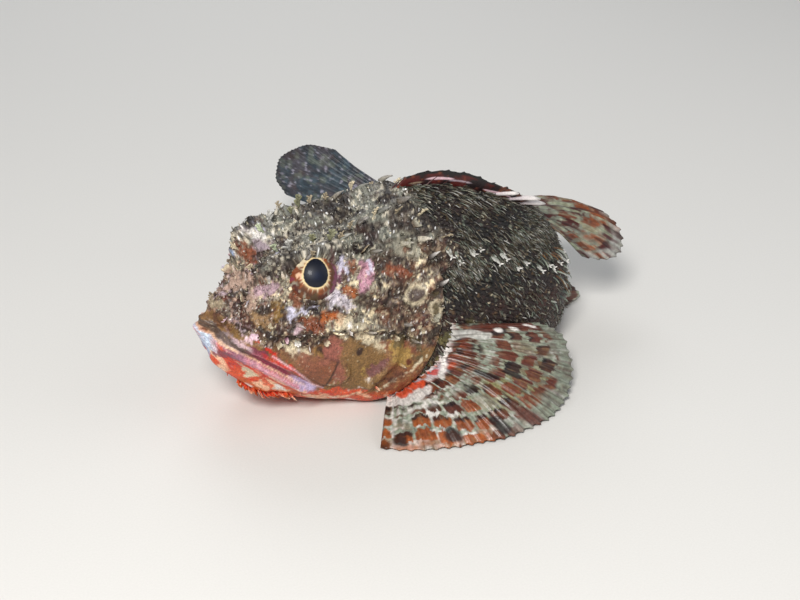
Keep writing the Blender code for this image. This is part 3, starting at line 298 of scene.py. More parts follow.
lipBands = [
    # from and to station, lowest and highest offset, colour, strength
    (-6, 10, 0.1, 2.6, "taupe", 0.9), (8, 27, 0.1, 2.2, "magenta", 0.75), (6, 20, 0.9, 2.0, "plum", 0.6),
    (20, 29, -0.4, 1.5, "lavender", 0.9), (3.5, 10, 2.4, 3.6, "pinkWhite", 0.9), (8, 21, 1.9, 2.5, "rose", 0.9),
    (11, 25, 2.4, 3.6, "signalRed", 0.95), (-6, 1.5, -4.5, -0.4, "skyWhite", 0.95), (1, 9, -3.0, -0.5, "mauve", 0.9),
    (6, 24, -2.6, -0.4, "lavenderPink", 0.8), (9, 21, -1.7, -1.1, "pinkWhite", 0.6),
    (-5, 26, -0.5, 0.1, "palePeach", 0.95), (2, 20, -3.7, -2.9, "signalRed", 0.85),
]
jawPlate = {"line": [(5, 14, 30.2), (12, 16.4, 28.2), (20, 18, 24.4), (27, 18.9, 20.2), (32, 19.3, 17),
                     (34.2, 19.3, 15.8)],
            "half": [1.3, 2.1, 3.0, 4.0, 4.6, 4.4], "rise": 1.0,
            "top": [(16, 28.2), (24, 25.2), (28, 23), (30, 22.4), (34.3, 20.4)],
            "rear": [(30.2, 10.6), (32.4, 16.6), (34.3, 20.4)][::-1],
            "low": [(15, 25.2), (21.5, 19.3), (24.5, 15.8), (27, 12.6), (30.2, 10.6)][::-1]}
gillCover = {
    "edge": [(52, 76), (56, 65), (61.5, 57), (65.5, 50.5), (67.6, 44), (67.8, 35), (66.6, 27), (64.2, 19.5), (60, 12),
             (54.5, 6.5), (47.5, 1.5), (44, -6)],
    "rise": 1.3, "fade": 13, "slit": 0.9,
}
nostrils = [((14.5, 10, 46), 1.15), ((20.8, 13.5, 47.3), 1.35)]
# Upper edge of the smooth cheek, as station and height
cheekTop = [(-5, 36), (6, 33.5), (14, 29), (20, 25.5), (27, 25.5), (33, 27.5), (41, 25), (47, 23.5), (52, 25.5),
            (60, 23.5), (68, 20)]


def settled(line):
    # The places on the plain skin nearest to a line's points
    return np.array([plainSkin[np.argmin(((plainSkin - np.array(p, float)) ** 2).sum(axis=1))] for p in line])


def gillGap(points):
    # How far in front of the gill cover's free edge a place is
    edge = np.array(gillCover["edge"][::-1], float)
    return np.interp(points[..., 2], edge[:, 1], edge[:, 0]) - points[..., 0]


def gapeHeight(s):
    line = np.array(mouth["line"], float)
    return np.interp(s, line[:, 0], line[:, 1])


def leftSide(points):
    return np.stack([points[..., 0], np.abs(points[..., 1]), points[..., 2]], axis=-1)


def crustShare(points):
    # 1 on the encrusted upper head and cheek, 0 on the smooth lower cheek, lips and jaw
    top = np.array(cheekTop, float)
    above = points[..., 2] - np.interp(points[..., 0], top[:, 0], top[:, 1]) + 3.2 * fractalAt(points, 5, 65)
    return smoothStep(above / 2.5 + 0.5)


def bodyShare(points):
    # 1 behind the head: sharp at the gill cover's edge, fading out over the nape and shoulder
    high = smoothStep((points[..., 2] - 40) / 9)
    behind = -gillGap(points) - high * (8 + 5 * noiseAt(points, 6, 19))
    return smoothStep(behind / (0.8 + 5 * high) + 0.5)


def eyeFrame(sign=1):
    aim = np.array(eyeball["aim"], float) * (1, sign, 1)
    aim /= np.linalg.norm(aim)
    across = np.array((0.927, 0.375 * sign, 0.0))
    across -= aim * (across @ aim)
    across /= np.linalg.norm(across)
    up = np.cross(aim, across)
    return aim, across, up * np.sign(up[2])


def reliefAt(points):
    # How far the skin stands out from the plain body, in mm
    left = leftSide(points)
    s, side, height = left[..., 0], left[..., 1], left[..., 2]
    amount = np.zeros(s.shape)
    ahead = s < 80
    near = left[ahead]
    part = np.zeros(len(near))
    for rows, sign in ((headRidges, 1), (headHollows, -1)):
        for line, rise, width in rows:
            part += sign * rise * bell(lineDistance(near, settled(line)), width)
    line, share = settled(jawPlate["line"]), np.arange(len(jawPlate["half"]))
    d, along = lineDistance(near, line, True)
    part += jawPlate["rise"] * smoothStep((np.interp(along, share, jawPlate["half"]) - d) / 0.7 + 0.5)
    amount[ahead] = part
    before = gillGap(left)
    flank = smoothStep((side - 9) / 6)
    low = flank * (1 - smoothStep((height - 44) / 8))
    amount += gillCover["rise"] * np.where(before > 0, 1 - smoothStep(before / gillCover["fade"]), 0) * low
    amount -= gillCover["slit"] * bell(before + 0.7, 0.9) * low
    gap = lineDistance(left[..., [0, 2]], mouth["line"])
    gape = 1 - smoothStep((s - mouth["end"] + 3) / 4)
    lips = [rise * bell(gap - off, wide) for rise, off, wide in (mouth["upperLip"], mouth["lowerLip"])]
    amount += gape * (np.where(height > gapeHeight(s), *lips) - mouth["depth"] * bell(gap, mouth["slit"]))
    for place, radius in nostrils:
        d = lineDistance(left, settled([place]))
        amount += 0.7 * bell(d - radius - 0.2, 0.5) - 1.2 * bell(d, radius * 0.6)
    crust = np.maximum(crustShare(left), 0.12) * (1 - bodyShare(left))
    amount += crust * (0.75 * fractalAt(points, 3.4, 3) + 0.35 * noiseAt(points, 1.2, 5))
    near, second, _ = cellsAt(points, 2.1, 9)
    amount += crust * 0.4 * bell(second - near, 0.16)
    amount += 0.2 * fractalAt(points, 5, 11) * smoothStep((s + 2) / 6)
    return amount


def seatEye(points):
    # Draws the skin in behind the open part of each eye, and lays thick lids on the ball round it
    out = points.copy()
    for sign in (1, -1):
        aim, across, up = eyeFrame(sign)
        off = out - np.array(eyeball["centre"]) * (1, sign, 1)
        ahead, length = off @ aim, np.linalg.norm(off, axis=-1)
        wide, tall = eyeball["opening"]
        ring = np.hypot(off @ across / wide, off @ up / tall) + 0.05 * noiseAt(points, 1.1, 23)
        inside = smoothStep((1 - ring) / 0.08 + 0.5)
        lid = eyeball["radius"] + 0.45 + 0.5 * bell(ring - 1.14, 0.1)
        target = inside * np.minimum(length, eyeball["radius"] - 0.4) + (1 - inside) * np.maximum(length, lid)
        share = smoothStep((1.5 - ring) / 0.3) * smoothStep(ahead / 2)
        scale = 1 + (target / np.maximum(length, 1e-6) - 1) * share
        out = np.where((share > 0)[..., None], off * scale[..., None] + np.array(eyeball["centre"]) * (1, sign, 1),
                       out)
    return out


def gridNormals(points):
    along = np.gradient(points, axis=0)
    inner = points[:, :-1]
    around = np.roll(inner, -1, axis=1) - np.roll(inner, 1, axis=1)
    around = np.concatenate([around, around[:, :1]], axis=1)
    normal = np.cross(around, along)
    normal[0] = (-1, 0, 0)
    normal[-1] = (1, 0, 0)
    return unit(normal)


plainAngles = np.linspace(0, 2 * math.pi, 160, endpoint=False)
plainSkin = sectionPoints(*np.meshgrid(np.linspace(-3.2, 182, 260), plainAngles, indexing="ij")).reshape(-1, 3)

# The one skin: rings along the fish, closer on the head, and points round it, closer on the left
skinGrid = {"rings": 428, "around": 226, "spacing": [(-3.4, 0.04), (-2.8, 0.14), (0, 0.26), (60, 0.3), (72, 0.36),
                                                     (84, 0.62), (183.5, 0.8)]}


def skinStations():
    fine = np.arange(bodyLine["noseStart"], bodyLine["tailEnd"], 0.01)
    gaps = np.array(skinGrid["spacing"])
    total = np.cumsum(1 / np.interp(fine, gaps[:, 0], gaps[:, 1]))
    total = (total - total[0]) / (total[-1] - total[0])
    return np.interp(np.linspace(0, 1, skinGrid["rings"] + 1), total, fine)


def skinAngles(stations):
    # Angles spaced by length along each ring, from the belly up the left side and round
    fine = np.linspace(-math.pi / 2, 1.5 * math.pi, 721)
    weight = 1 + 0.3 * np.cos(fine) - 0.45 * smoothStep((-np.sin(fine) - 0.5) / 0.4)
    spread = np.linspace(0, 1, skinGrid["around"] + 1)
    rows = []
    for s in np.maximum(stations, bodyLine["noseStart"] + 0.05):
        ring = sectionPoints(np.full(fine.shape, min(s, bodyLine["tailEnd"] - 0.1)), fine)
        step = np.linalg.norm(np.diff(ring, axis=0), axis=1) * (weight[1:] + weight[:-1]) / 2
        length = np.concatenate([[0], np.cumsum(step)])
        rows.append(np.interp(spread, length / length[-1], fine))
    return np.array(rows)


print("skin shape")
stations = skinStations()
angles = skinAngles(stations)
plain = sectionPoints(np.repeat(stations[:, None], angles.shape[1], axis=1), angles)
plainNormals = gridNormals(plain)
skinPoints = seatEye(plain + plainNormals * reliefAt(plain)[..., None])
skinPoints[..., 2] = np.maximum(skinPoints[..., 2], 0.02)
skinPoints[:, -1] = skinPoints[:, 0]

# Painted marks: places, radius, colour, strength. Later ones lie over earlier ones. The snout's own marks first,
# on either side, then those of the left side, which the right side repeats.
snoutMarks = [
    ([(1.5, -3.5, 36), (4, -2.5, 39), (8, -3.5, 44.5)], 2.5, "beigePink", 0.7),
    ([(8.5, -0.5, 43), (11, 7, 47), (13.5, 9.5, 46.5)], 3, "beigePink", 0.9),
    ([(16, -12.5, 51), (18.5, -10.5, 52), (21, -5, 52)], 1.6, "white", 0.9),
    ([(17.5, -13, 52), (21, -12.5, 53.5)], 1, "brown", 0.8),
    ([(14.5, -12, 49.5), (14.5, -10.5, 49)], 1.5, "maroon", 0.95),
    ([(14.5, -7.5, 48.5), (15.5, -4, 48.5), (15.5, 1, 47)], 2, "rust", 0.9),
    ([(14, -2.5, 47.5)], 1, "orange", 0.8),
    ([(14, -10.5, 47)], 0.7, "paleLavender", 0.8),
    ([(18.5, -5, 51), (21.5, -1.5, 51)], 1.5, "lilacGrey", 0.8),
    ([(16.5, -2, 48), (18.5, 7.5, 51.5)], 1, "darkBrown", 0.9),
    ([(24, -3, 52.5), (25.5, -1, 52.5)], 1, "darkBrown", 0.8),
    ([(14.5, -12, 49.5), (9, -5.5, 45.5), (7, -1.5, 42.5)], 0.7, "paleBlue", 0.85),
]
headMarks = [
    ([(12, 12.5, 43), (9, 11, 40)], 2.5, "beigePink", 0.8),
    ([(21.5, 5.5, 52.5), (20, 11.5, 53)], 1, "paleLavender", 0.9),
    ([(15, 10, 50), (14.5, 12.5, 48.5)], 1, "brown", 0.9),
    ([(16.5, 12.5, 51.5), (16, 13.5, 49)], 0.8, "white", 0.8),
    ([(17, 13.5, 45.5), (14, 12.5, 44)], 2, "lilacPink", 0.75),
    ([(2, 1, 36.5), (4, 5.5, 39)], 1.5, "beige", 0.8),
    ([(5.5, 6.5, 41), (7, 7.5, 40.5)], 0.6, "paleLavender", 0.9),
    ([(8, 10.5, 39), (8, 12, 37)], 1.5, "redBrown", 0.9),
    ([(-0.5, 1.5, 34.5), (0.5, 5, 35)], 0.7, "brown", 0.8),
    ([(17.5, 15.5, 41), (17.5, 16.5, 36.5)], 1.5, "ochre", 0.8),
    ([(20, 15, 44.5), (22, 15.5, 44)], 0.5, "cream", 0.95),
    ([(19.5, 15.5, 43), (21.5, 16, 42.5)], 0.5, "cream", 0.95),
    ([(21, 16.5, 41), (21.5, 16.5, 40.5)], 0.6, "cream", 0.8),
    ([(23.5, 16.5, 43), (24, 17, 40.5)], 1.5, "rust", 0.85),
    ([(21.5, 17, 39), (22, 17.5, 36.5)], 1.5, "paleLavender", 0.95),
    ([(23, 17.5, 37), (25.5, 17.5, 38.5), (28, 18, 40)], 0.8, "paleLavender", 0.95),
    ([(27, 18, 38.5), (29, 18.5, 36.5)], 1, "blackMaroon", 0.95),
    ([(31, 18.5, 36), (35.5, 19.5, 34.5)], 1.5, "orange", 0.9),
    ([(36, 19.5, 35), (34, 19, 36.5)], 1, "rust", 0.8),
    ([(37.5, 16.5, 48.5), (36, 18, 43)], 0.9, "mauve", 0.9),
    ([(-1.5, 4.5, 34.5), (1.5, 9, 34.5), (3.5, 11.5, 33.5)], 0.4, "rose", 0.9),
    ([(-2, 6, 34), (0.5, 9, 34)], 0.9, "beige", 0.7),
    ([(5, 9.5, 37), (7, 12.5, 35.5), (9, 14, 34.5)], 1.5, "redBrown", 0.8),
    ([(11.5, 14.5, 37), (14.5, 16.5, 35)], 2, "tan", 0.75),
    ([(13.5, 15, 38)], 0.9, "darkBrown", 0.8),
    ([(18, 18.5, 34)], 1, "darkBrown", 0.7),
    ([(23, 19.5, 33)], 1.2, "pinkWhite", 0.6),
    ([(26, 18.5, 34.5), (28.5, 20, 33)], 2, "rust", 0.9),
    ([(21, 17.5, 27), (24, 18.5, 25), (26, 19, 22)], 2, "cream", 0.9),
    ([(23, 18, 26)], 0.9, "white", 0.95),
    ([(25, 19, 22.5), (25.5, 19, 21.5)], 0.9, "white", 0.8),
    ([(29, 19, 24.5)], 1, "darkBrown", 0.85),
    ([(32.5, 19.5, 24), (36.5, 20, 23.5)], 2.5, "rosyBrown", 0.9),
    ([(-0.5, 10.5, 30.5), (4, 14, 30), (8.5, 16, 28)], 1.5, "taupe", 0.9),
    ([(9.5, 16.5, 28), (14.5, 16.5, 22.5), (19, 17.5, 17)], 1.5, "plum", 0.95),
    ([(3.5, 12.5, 33), (6.5, 14.5, 32), (8.5, 16, 30.5)], 0.9, "pinkWhite", 0.95),
    ([(13, 18, 28), (17, 17.5, 23.5), (20, 18, 21), (22.5, 18, 19.5)], 0.9, "signalRed", 1),
    ([(10.5, 17, 29.5)], 0.7, "signalRed", 0.8),
    ([(21.5, 17.5, 16), (24, 17.5, 12.5), (26, 17.5, 10.5)], 1.5, "lavender", 0.95),
    ([(26, 19, 21), (29, 19.5, 18), (31.5, 19.5, 15.5)], 3, "warmBrown", 0.9),
    ([(32, 20, 19), (34, 20, 17.5)], 1.5, "warmBrown", 0.9),
    ([(35, 19.5, 16), (33.5, 19, 12.5)], 0.9, "oliveTan", 0.8),
    ([(32.4, 19, 12.6), (33.6, 19, 14.6)], 0.9, "cream", 0.95),
    ([(-3, 6, 31.5), (3, 10, 29.5), (9, 13.5, 27)], 2.4, "lilacGrey", 0.75),
    ([(0, 8, 31), (6, 12, 28.5)], 1.2, "beigePink", 0.8),
    ([(-4, 4.5, 29.5), (-2.5, 5, 26.5), (-0.5, 3, 23)], 2.2, "paleBlue", 0.9),
    ([(-2.5, 7, 29.5), (-2.5, 5, 26.5)], 1, "skyWhite", 0.95),
    ([(-4.5, 2, 29), (-4, 1, 27), (-3, 0, 24)], 0.9, "blueEdge", 0.8),
    ([(1, 7.5, 24), (3, 12.5, 25), (6, 14, 23.5)], 1.5, "plum", 0.85),
    ([(-0.5, 9, 27.5), (1, 8, 24.5)], 0.6, "pinkWhite", 0.9),
    ([(5, 14, 25.5), (9, 15, 23), (13, 16.5, 19.5)], 1, "lavenderPink", 0.9),
    ([(-0.5, 3, 23), (2, 6, 21), (5.5, 11, 21), (9.5, 15, 21)], 0.6, "red", 0.95),
    ([(9.5, 15.5, 21.5), (12.5, 16, 18.5), (16, 15.5, 15)], 1, "signalRed", 0.9),
    ([(4.5, 6, 17.5), (9, 7.5, 14), (13.5, 8.5, 10.5)], 0.8, "orangeRed", 0.8),
    ([(12.5, 14, 16), (16, 13, 12)], 1, "orangeRed", 0.9),
    ([(9, 11, 16.5)], 1, "cream", 0.95),
    ([(10, 7.5, 13), (12, 8.5, 11.5)], 0.7, "palePeach", 0.9),
    ([(4.5, 6, 17.5), (9, 7.5, 14), (13.5, 9, 10.5)], 0.4, "palePeach", 0.8),
    ([(8, 13.5, 20), (10.5, 12.5, 17)], 1.2, "cream", 0.95),
    ([(15.5, 15, 14.5), (17.5, 14.5, 12), (19.5, 14, 10)], 1.9, "palePeach", 0.9),
    ([(17, 15, 13), (18.5, 14, 11)], 1.4, "white", 1),
    ([(24, 17, 9.5), (30, 17, 8), (36, 17.5, 7), (40, 18, 7)], 1.2, "orangeRed", 0.9),
    ([(26, 15, 6), (32, 16, 5.5), (38, 16.5, 5)], 1.1, "palePeach", 0.8),
    ([(24.5, 16, 9), (33, 16.5, 7.5)], 0.8, "signalRed", 0.8),
    ([(35.5, 15.5, 4.5), (39, 17, 5.5), (42.5, 19, 7.5)], 0.6, "palePeach", 0.85),
    ([(44, 11.5, 58), (47.5, 11.5, 57)], 1, "darkBrown", 0.9),
    ([(49.5, 12, 56)], 0.9, "darkBrown", 0.8),
    ([(43.5, 14, 53.5), (47, 13.5, 54)], 1.5, "blackMaroon", 1),
    ([(34.5, 15.5, 54.5), (35.5, 15, 51)], 1, "maroon", 0.8),
    ([(44.5, 17, 49), (45, 17, 45.5), (43, 18.5, 42.5)], 2, "lavenderPink", 0.9),
    ([(45.5, 17, 50), (46, 17, 46.5)], 0.7, "paleLavender", 0.95),
    ([(38, 15.5, 51), (38.5, 16.5, 47.5), (39.5, 17, 45.5)], 1, "paleLavender", 0.9),
    ([(40.5, 16.5, 50.5), (40.5, 16.5, 46.5)], 1, "rust", 0.8),
    ([(38.5, 18, 43), (40, 19, 41.5)], 1.5, "orange", 0.8),
    ([(36.5, 18, 44)], 0.9, "blackMaroon", 0.9),
    ([(33.5, 18.5, 41), (36, 18.5, 40), (38, 19.5, 38)], 2, "lilacWhite", 0.85),
    ([(32.5, 19, 35.5), (35, 19.5, 35)], 1, "orange", 0.95),
    ([(42.5, 19.5, 40), (45, 20, 37)], 2, "darkBrown", 0.8),
    ([(51, 18, 46.5), (54, 18, 46), (57, 20.5, 45)], 1.5, "rust", 0.85),
    ([(55, 20.5, 44.5), (57.5, 19.5, 43)], 1, "redBrown", 0.8),
    ([(52, 20, 42.5), (53.5, 20, 41)], 0.9, "beigePink", 0.8),
    ([(60, 21.5, 35), (60, 21.5, 34)], 0.7, "redBrown", 0.8),
    ([(65, 21.5, 38)], 0.9, "olive", 0.8),
    ([(58, 22, 29.5)], 0.7, "white", 0.7), ([(59.5, 23, 27)], 0.6, "cream", 0.9),
    ([(35.5, 19.5, 34.5), (38, 21.5, 32.5), (41.5, 22.5, 31.5)], 1.5, "cream", 0.6),
    ([(38, 21.5, 32.5)], 0.9, "white", 0.9),
    ([(40.5, 20.5, 27.5), (45, 21, 25), (47.5, 21.5, 23)], 1.5, "cream", 0.8),
    ([(34, 19.5, 26), (33.5, 20, 19), (36.5, 19.5, 13)], 2.5, "rosyBrown", 0.8),
    ([(39, 20, 25), (39.5, 20.5, 18), (39, 19.5, 12)], 3, "oliveTan", 0.9),
    ([(45.5, 21.5, 21.5), (45, 21, 16.5)], 2.5, "oliveTan", 0.85),
    ([(51.5, 24, 23.5), (55, 23, 18.5)], 2.5, "ochreYellow", 0.85),
    ([(52, 24, 25.5), (58.5, 23, 23)], 1.5, "olive", 0.8),
    ([(59, 23, 22), (60.5, 23.5, 19.5), (58, 23.5, 17)], 1, "olive", 0.85),
    ([(41, 20.5, 22.5)], 0.9, "darkBrown", 0.95),
    ([(32.5, 20, 19.5)], 1, "maroonBrown", 0.8),
    ([(56, 23, 17.5)], 0.8, "darkRust", 0.95),
    ([(44.5, 21.5, 15), (48, 22.5, 17.5)], 1.5, "mauveBrown", 0.9),
    ([(43.5, 21.5, 12.5)], 0.9, "white", 0.95),
    ([(42, 20.5, 15.5)], 0.8, "ochreYellow", 0.8),
    ([(62.5, 23.5, 22.5), (62.5, 23.5, 19.5), (59, 23.5, 16), (55, 23, 13), (50.5, 21.5, 10), (46.5, 19.5, 7)], 0.5,
     "cream", 0.9),
    ([(66, 23.5, 26), (64, 24, 19.5), (60, 23.5, 14.5), (55.5, 23, 11.5), (52, 21.5, 8.5)], 0.4, "tan", 0.9),
    ([(45.5, 22.5, 11), (51, 22, 11)], 1, "redBrown", 0.85),
    ([(34, 17.5, 9), (38.5, 18.5, 8), (43.5, 19.5, 7.5)], 1, "orangeRed", 0.9),
    ([(38.5, 18.5, 8.5), (42, 20, 9.5)], 0.4, "white", 0.8),
    ([(68.5, 19.5, 44), (68.5, 21, 38.5), (67.5, 22.5, 32.5), (67, 23.5, 26.5)], 0.6, "cream", 0.75),
    ([(66, 23.5, 22.5), (68.5, 23, 29)], 0.7, "tan", 0.6),
    ([(35.5, 13.5, 3.5), (39, 17, 5.5), (42.5, 19, 7.5)], 0.6, "palePeach", 0.85),
]

# Clear-edged rings and pits among the crust
ringMarks = [
    ([(58.6, 22.5, 38.6)], 3.7, "cream", 0.85), ([(58.6, 22.5, 38.8)], 2.6, "taupe", 1),
    ([(58.2, 22.5, 39.6)], 1.2, "greyBrown", 0.7),
    ([(64.5, 22.5, 33.8), (64.6, 22.5, 31)], 1.9, "cream", 0.8),
    ([(64.5, 22.5, 33.8), (64.6, 22.5, 31)], 1.1, "olive", 0.95),
    ([(43.5, 14, 53.5), (46.5, 13.5, 54)], 1.5, "blackMaroon", 0.95),
    ([(44, 11.5, 58), (46.5, 11.5, 57.3)], 0.9, "darkBrown", 0.9),
    ([(49.5, 12, 56)], 0.9, "darkBrown", 0.85), ([(56, 16, 52), (60, 17, 51)], 2.4, "greyBeige", 0.6),
    ([(58, 16.5, 51.5)], 1.3, "umber", 0.8),
    ([(41, 20.5, 22.5)], 0.9, "darkBrown", 0.95), ([(32.5, 20, 19.5)], 0.9, "maroonBrown", 0.85),
    ([(29, 19, 25)], 0.9, "darkBrown", 0.85),
]


def over(colour, paint, amount):
    # Lays a named paint over by amount, from 0 to 1 at each place
    return colour + (tones[paint] - colour) * np.clip(amount, 0, 1)[..., None]


def marks(colour, points, rows, wander=(0.9, 2.4, 0.6, 0.9), soft=0.6, ragged=0.8):
    # Listed marks with wandering, broken edges
    far, size, fine, fineSize = wander
    shake = [far * noiseAt(points, size, 40 + k) + fine * noiseAt(points, fineSize, 50 + k) for k in range(3)]
    moved = points + np.stack(shake, axis=-1)
    broken = ragged * noiseAt(points, fineSize, 57)
    for line, radius, paint, strength in rows:
        d = lineDistance(moved, line)
        share = smoothStep((radius - d) / (soft + 0.3 * radius) + 0.5 + broken)
        colour = over(colour, paint, strength * share * smoothStep((radius * 1.8 - d) / 0.5))
    return colour


def slantedCells(s, height, long, wide, seed):
    # Cells drawn out along the scale rows, which slope down towards the tail
    along, aside = (0.42 * s - 0.91 * height) / long, (0.91 * s + 0.42 * height) / wide
    return cellsAt(np.stack([along, aside, 0 * s], axis=-1), 1, seed)


# Streaks of the jaw: paint, size in mm, seed, level, edge, strength
jawStreaks = [("signalRed", 1.6, 71, 0.1, 4, 0.7), ("orange", 2.1, 73, 0.2, 4, 0.6),
              ("palePeach", 1.8, 75, 0.05, 4, 0.85),
              ("white", 1.5, 77, 0.45, 5, 0.7)]
# Painted flecks of the flank: length and width in mm, seed, paint, share
flankFlecks = [(2.8, 0.7, 201, "greyBeige", 0.13), (2.4, 0.65, 211, "mossGrey", 0.2), (3, 0.9, 221, "olive", 0.24)]


def laid(colour, layers):
    # Named paints laid over one another, each by its own amount
    for paint, amount in layers:
        colour = over(colour, paint, amount)
    return colour


def paintSkin(points):
    # The colour of the skin at straight-fish places
    left = leftSide(points)
    s, height = left[..., 0], left[..., 2]
    warp = points + 1.2 * np.stack([noiseAt(points, 2.6, 17 + k) for k in range(3)], axis=-1)
    broad, middle = fractalAt(warp, 10, 21), fractalAt(warp, 4.2, 25)
    small, fine = noiseAt(points, 1.5, 29), noiseAt(points, 0.75, 31)
    top = smoothStep((height - 47) / 8 + 0.6 * broad)
    # encrusted head: dark, rust and maroon blotches under a broken pale crust
    front = smoothStep((26 - s) / 16)
    colour = laid(tones["brown"], [
        ("greyBrown", smoothStep(middle * 3 + 0.3) * 0.6),
        ("umber", smoothStep((fractalAt(warp, 3.4, 35) - 0.08) * 4) * 0.85),
        ("rust", smoothStep((fractalAt(warp, 2.6, 47) - 0.25) * 5) * (0.5 + 0.3 * front)),
        ("maroon", smoothStep((fractalAt(warp, 3.8, 37) - 0.15) * 5) * 0.75),
        ("olive", top * smoothStep(0.5 + 2 * small) * 0.7),
        ("darkBrown", smoothStep((-0.5 * small - middle - 0.05) * 4) * 0.9),
    ])
    thick = smoothStep((broad + 0.6 * middle + 0.2 * top + 0.02) * 2.6)
    near, second, _ = cellsAt(warp, 2.1, 9)
    finer, further, _ = cellsAt(points + 0.4 * np.stack([noiseAt(points, 0.9, 81 + k) for k in range(3)], axis=-1),
                                1.15, 83)
    colour = laid(colour, [
        ("greyBeige", bell(second - near, 0.15) * (0.15 + 0.85 * thick) * 0.75),
        ("greyBeige", bell(further - finer, 0.13) * (0.2 + 0.8 * thick) * 0.75),
        ("darkBrown", smoothStep((0.36 - finer) * 5) * 0.7),
        ("greyBeige", top * thick * smoothStep((fine + small - 0.25) * 2.5) * 0.55),
        ("mossGrey", top * smoothStep(0.3 + 2 * middle) * 0.5),
        ("cream", (0.3 + 0.7 * thick) * (1 - 0.4 * top) * smoothStep((fine + small - 0.42) * 4) * 0.9),
        ("lilacGrey", smoothStep((fractalAt(warp, 3.2, 45) - 0.1) * 5) * front * smoothStep(0.7 + 2 * fine) * 0.75),
        ("beigePink", smoothStep((fractalAt(warp, 2.6, 49) - 0.15) * 5) * front * smoothStep(0.5 + 2 * fine) * 0.7),
    ])
    dot, _, dotMark = cellsAt(points, 1.0, 33)
    colour = over(colour, "white", (dotMark > 0.75) * smoothStep((0.3 - dot) * 7) * 0.9)
    colour = (0.26 - 0.01 * top)[..., None] * (np.maximum(colour, 0) / 0.27) ** (1.4 + 0.3 * top)[..., None]
    grey = colour.mean(axis=-1, keepdims=True)
    colour = (colour + (grey - colour) * (0.15 + 0.4 * top)[..., None]) * (1 - 0.06 * top)[..., None]
    # smooth cheek, jaw and throat
    smooth = 1 - crustShare(left)
    cheek = laid(tones["oliveTan"], [
        ("warmBrown", smoothStep(0.5 + 1.5 * broad)),
        ("brown", smoothStep(middle * 2.5 - 0.1) * 0.7),
        ("ochre", smoothStep(-middle * 2.5 - 0.2) * 0.6),
        ("maroonBrown", smoothStep((fractalAt(warp, 2.6, 67) - 0.15) * 4) * 0.6),
        ("tan", smoothStep((fractalAt(warp, 2.2, 69) - 0.2) * 4) * 0.5),
    ])
    colour = colour + (cheek - colour) * smooth[..., None]
    jaw = smoothStep((gapeHeight(s) - height) / 2 + 0.3) * smoothStep((34 - s) / 3)
    under = np.maximum(jaw, smoothStep((7.5 - height) / 3) * smoothStep((60 - s) / 8))
    flow = np.stack([(0.81 * s - 0.59 * height) * 0.3, 0.59 * s + 0.81 * height, 0.6 * left[..., 1]], axis=-1)
    colour = over(colour, "orangeRed", under * 0.9)
    for paint, size, seed, level, edge, strength in jawStreaks:
        colour = over(colour, paint, under * smoothStep((noiseAt(flow, size, seed) - level) * edge) * strength)
    # body: black above and dark maroon below, flecked along the scale rows
    flank = over(tones["flankMaroon"], "flankBlack", smoothStep((height - 28) / 9 + 0.6 * broad))
    flank = over(flank, "redBrown", smoothStep(-middle * 3 - 0.3) * (0.45 - 0.3 * smoothStep((height - 30) / 10)))
    upper = smoothStep((height - 30) / 20)
    for long, wide, seed, paint, share in flankFlecks:
        near, _, mark = slantedCells(s + 0.4 * small, height + 0.4 * small, long, wide, seed)
        often = share * (0.3 + 1.2 * upper) * (1 + 1.4 * broad + 0.9 * middle)
        flank = over(flank, paint, (mark < often) * smoothStep((0.42 - near + 0.12 * fine) * 7) * 0.6)
    flank = laid(flank, [
        ("tan", smoothStep((fine - 0.5) * 4) * 0.3),
        ("brown", smoothStep((22 - height) / 10) * smoothStep(middle * 2 + 0.2) * 0.7),
        ("khaki", smoothStep((30 - height) / 8) * smoothStep((84 - s) / 8) * smoothStep(middle * 3 + small) * 0.5),
        ("bellyPale", smoothStep((7 - height + 2 * small) / 4) * 0.8),
    ])
    colour = colour + (flank - colour) * bodyShare(left)[..., None]
    head = s < 76
    colour[head] = marks(marks(colour[head], points[head], snoutMarks), left[head], headMarks)
    colour[head] = marks(colour[head], left[head], ringMarks, (0.5, 1.8, 0.25, 0.8), 0.3, 0.2)
    front = s < 40
    colour[front] = paintMouth(colour[front], left[front])
    # pores and dust over everything, least on the smooth cheek
    rough = 1 - 0.6 * smooth * (1 - bodyShare(left))
    colour = over(colour, "darkBrown", smoothStep((-fine - 0.35) * 4) * rough * 0.5)
    dot, _, dotMark = cellsAt(points, 0.95, 63)
    colour = over(colour, "cream", (dotMark > 0.86) * smoothStep((0.34 - dot) * 7) * rough * 0.8)
    return colour * (1 + 0.2 * noiseAt(points, 0.6, 61) + 0.12 * noiseAt(points, 0.4, 62))[..., None]


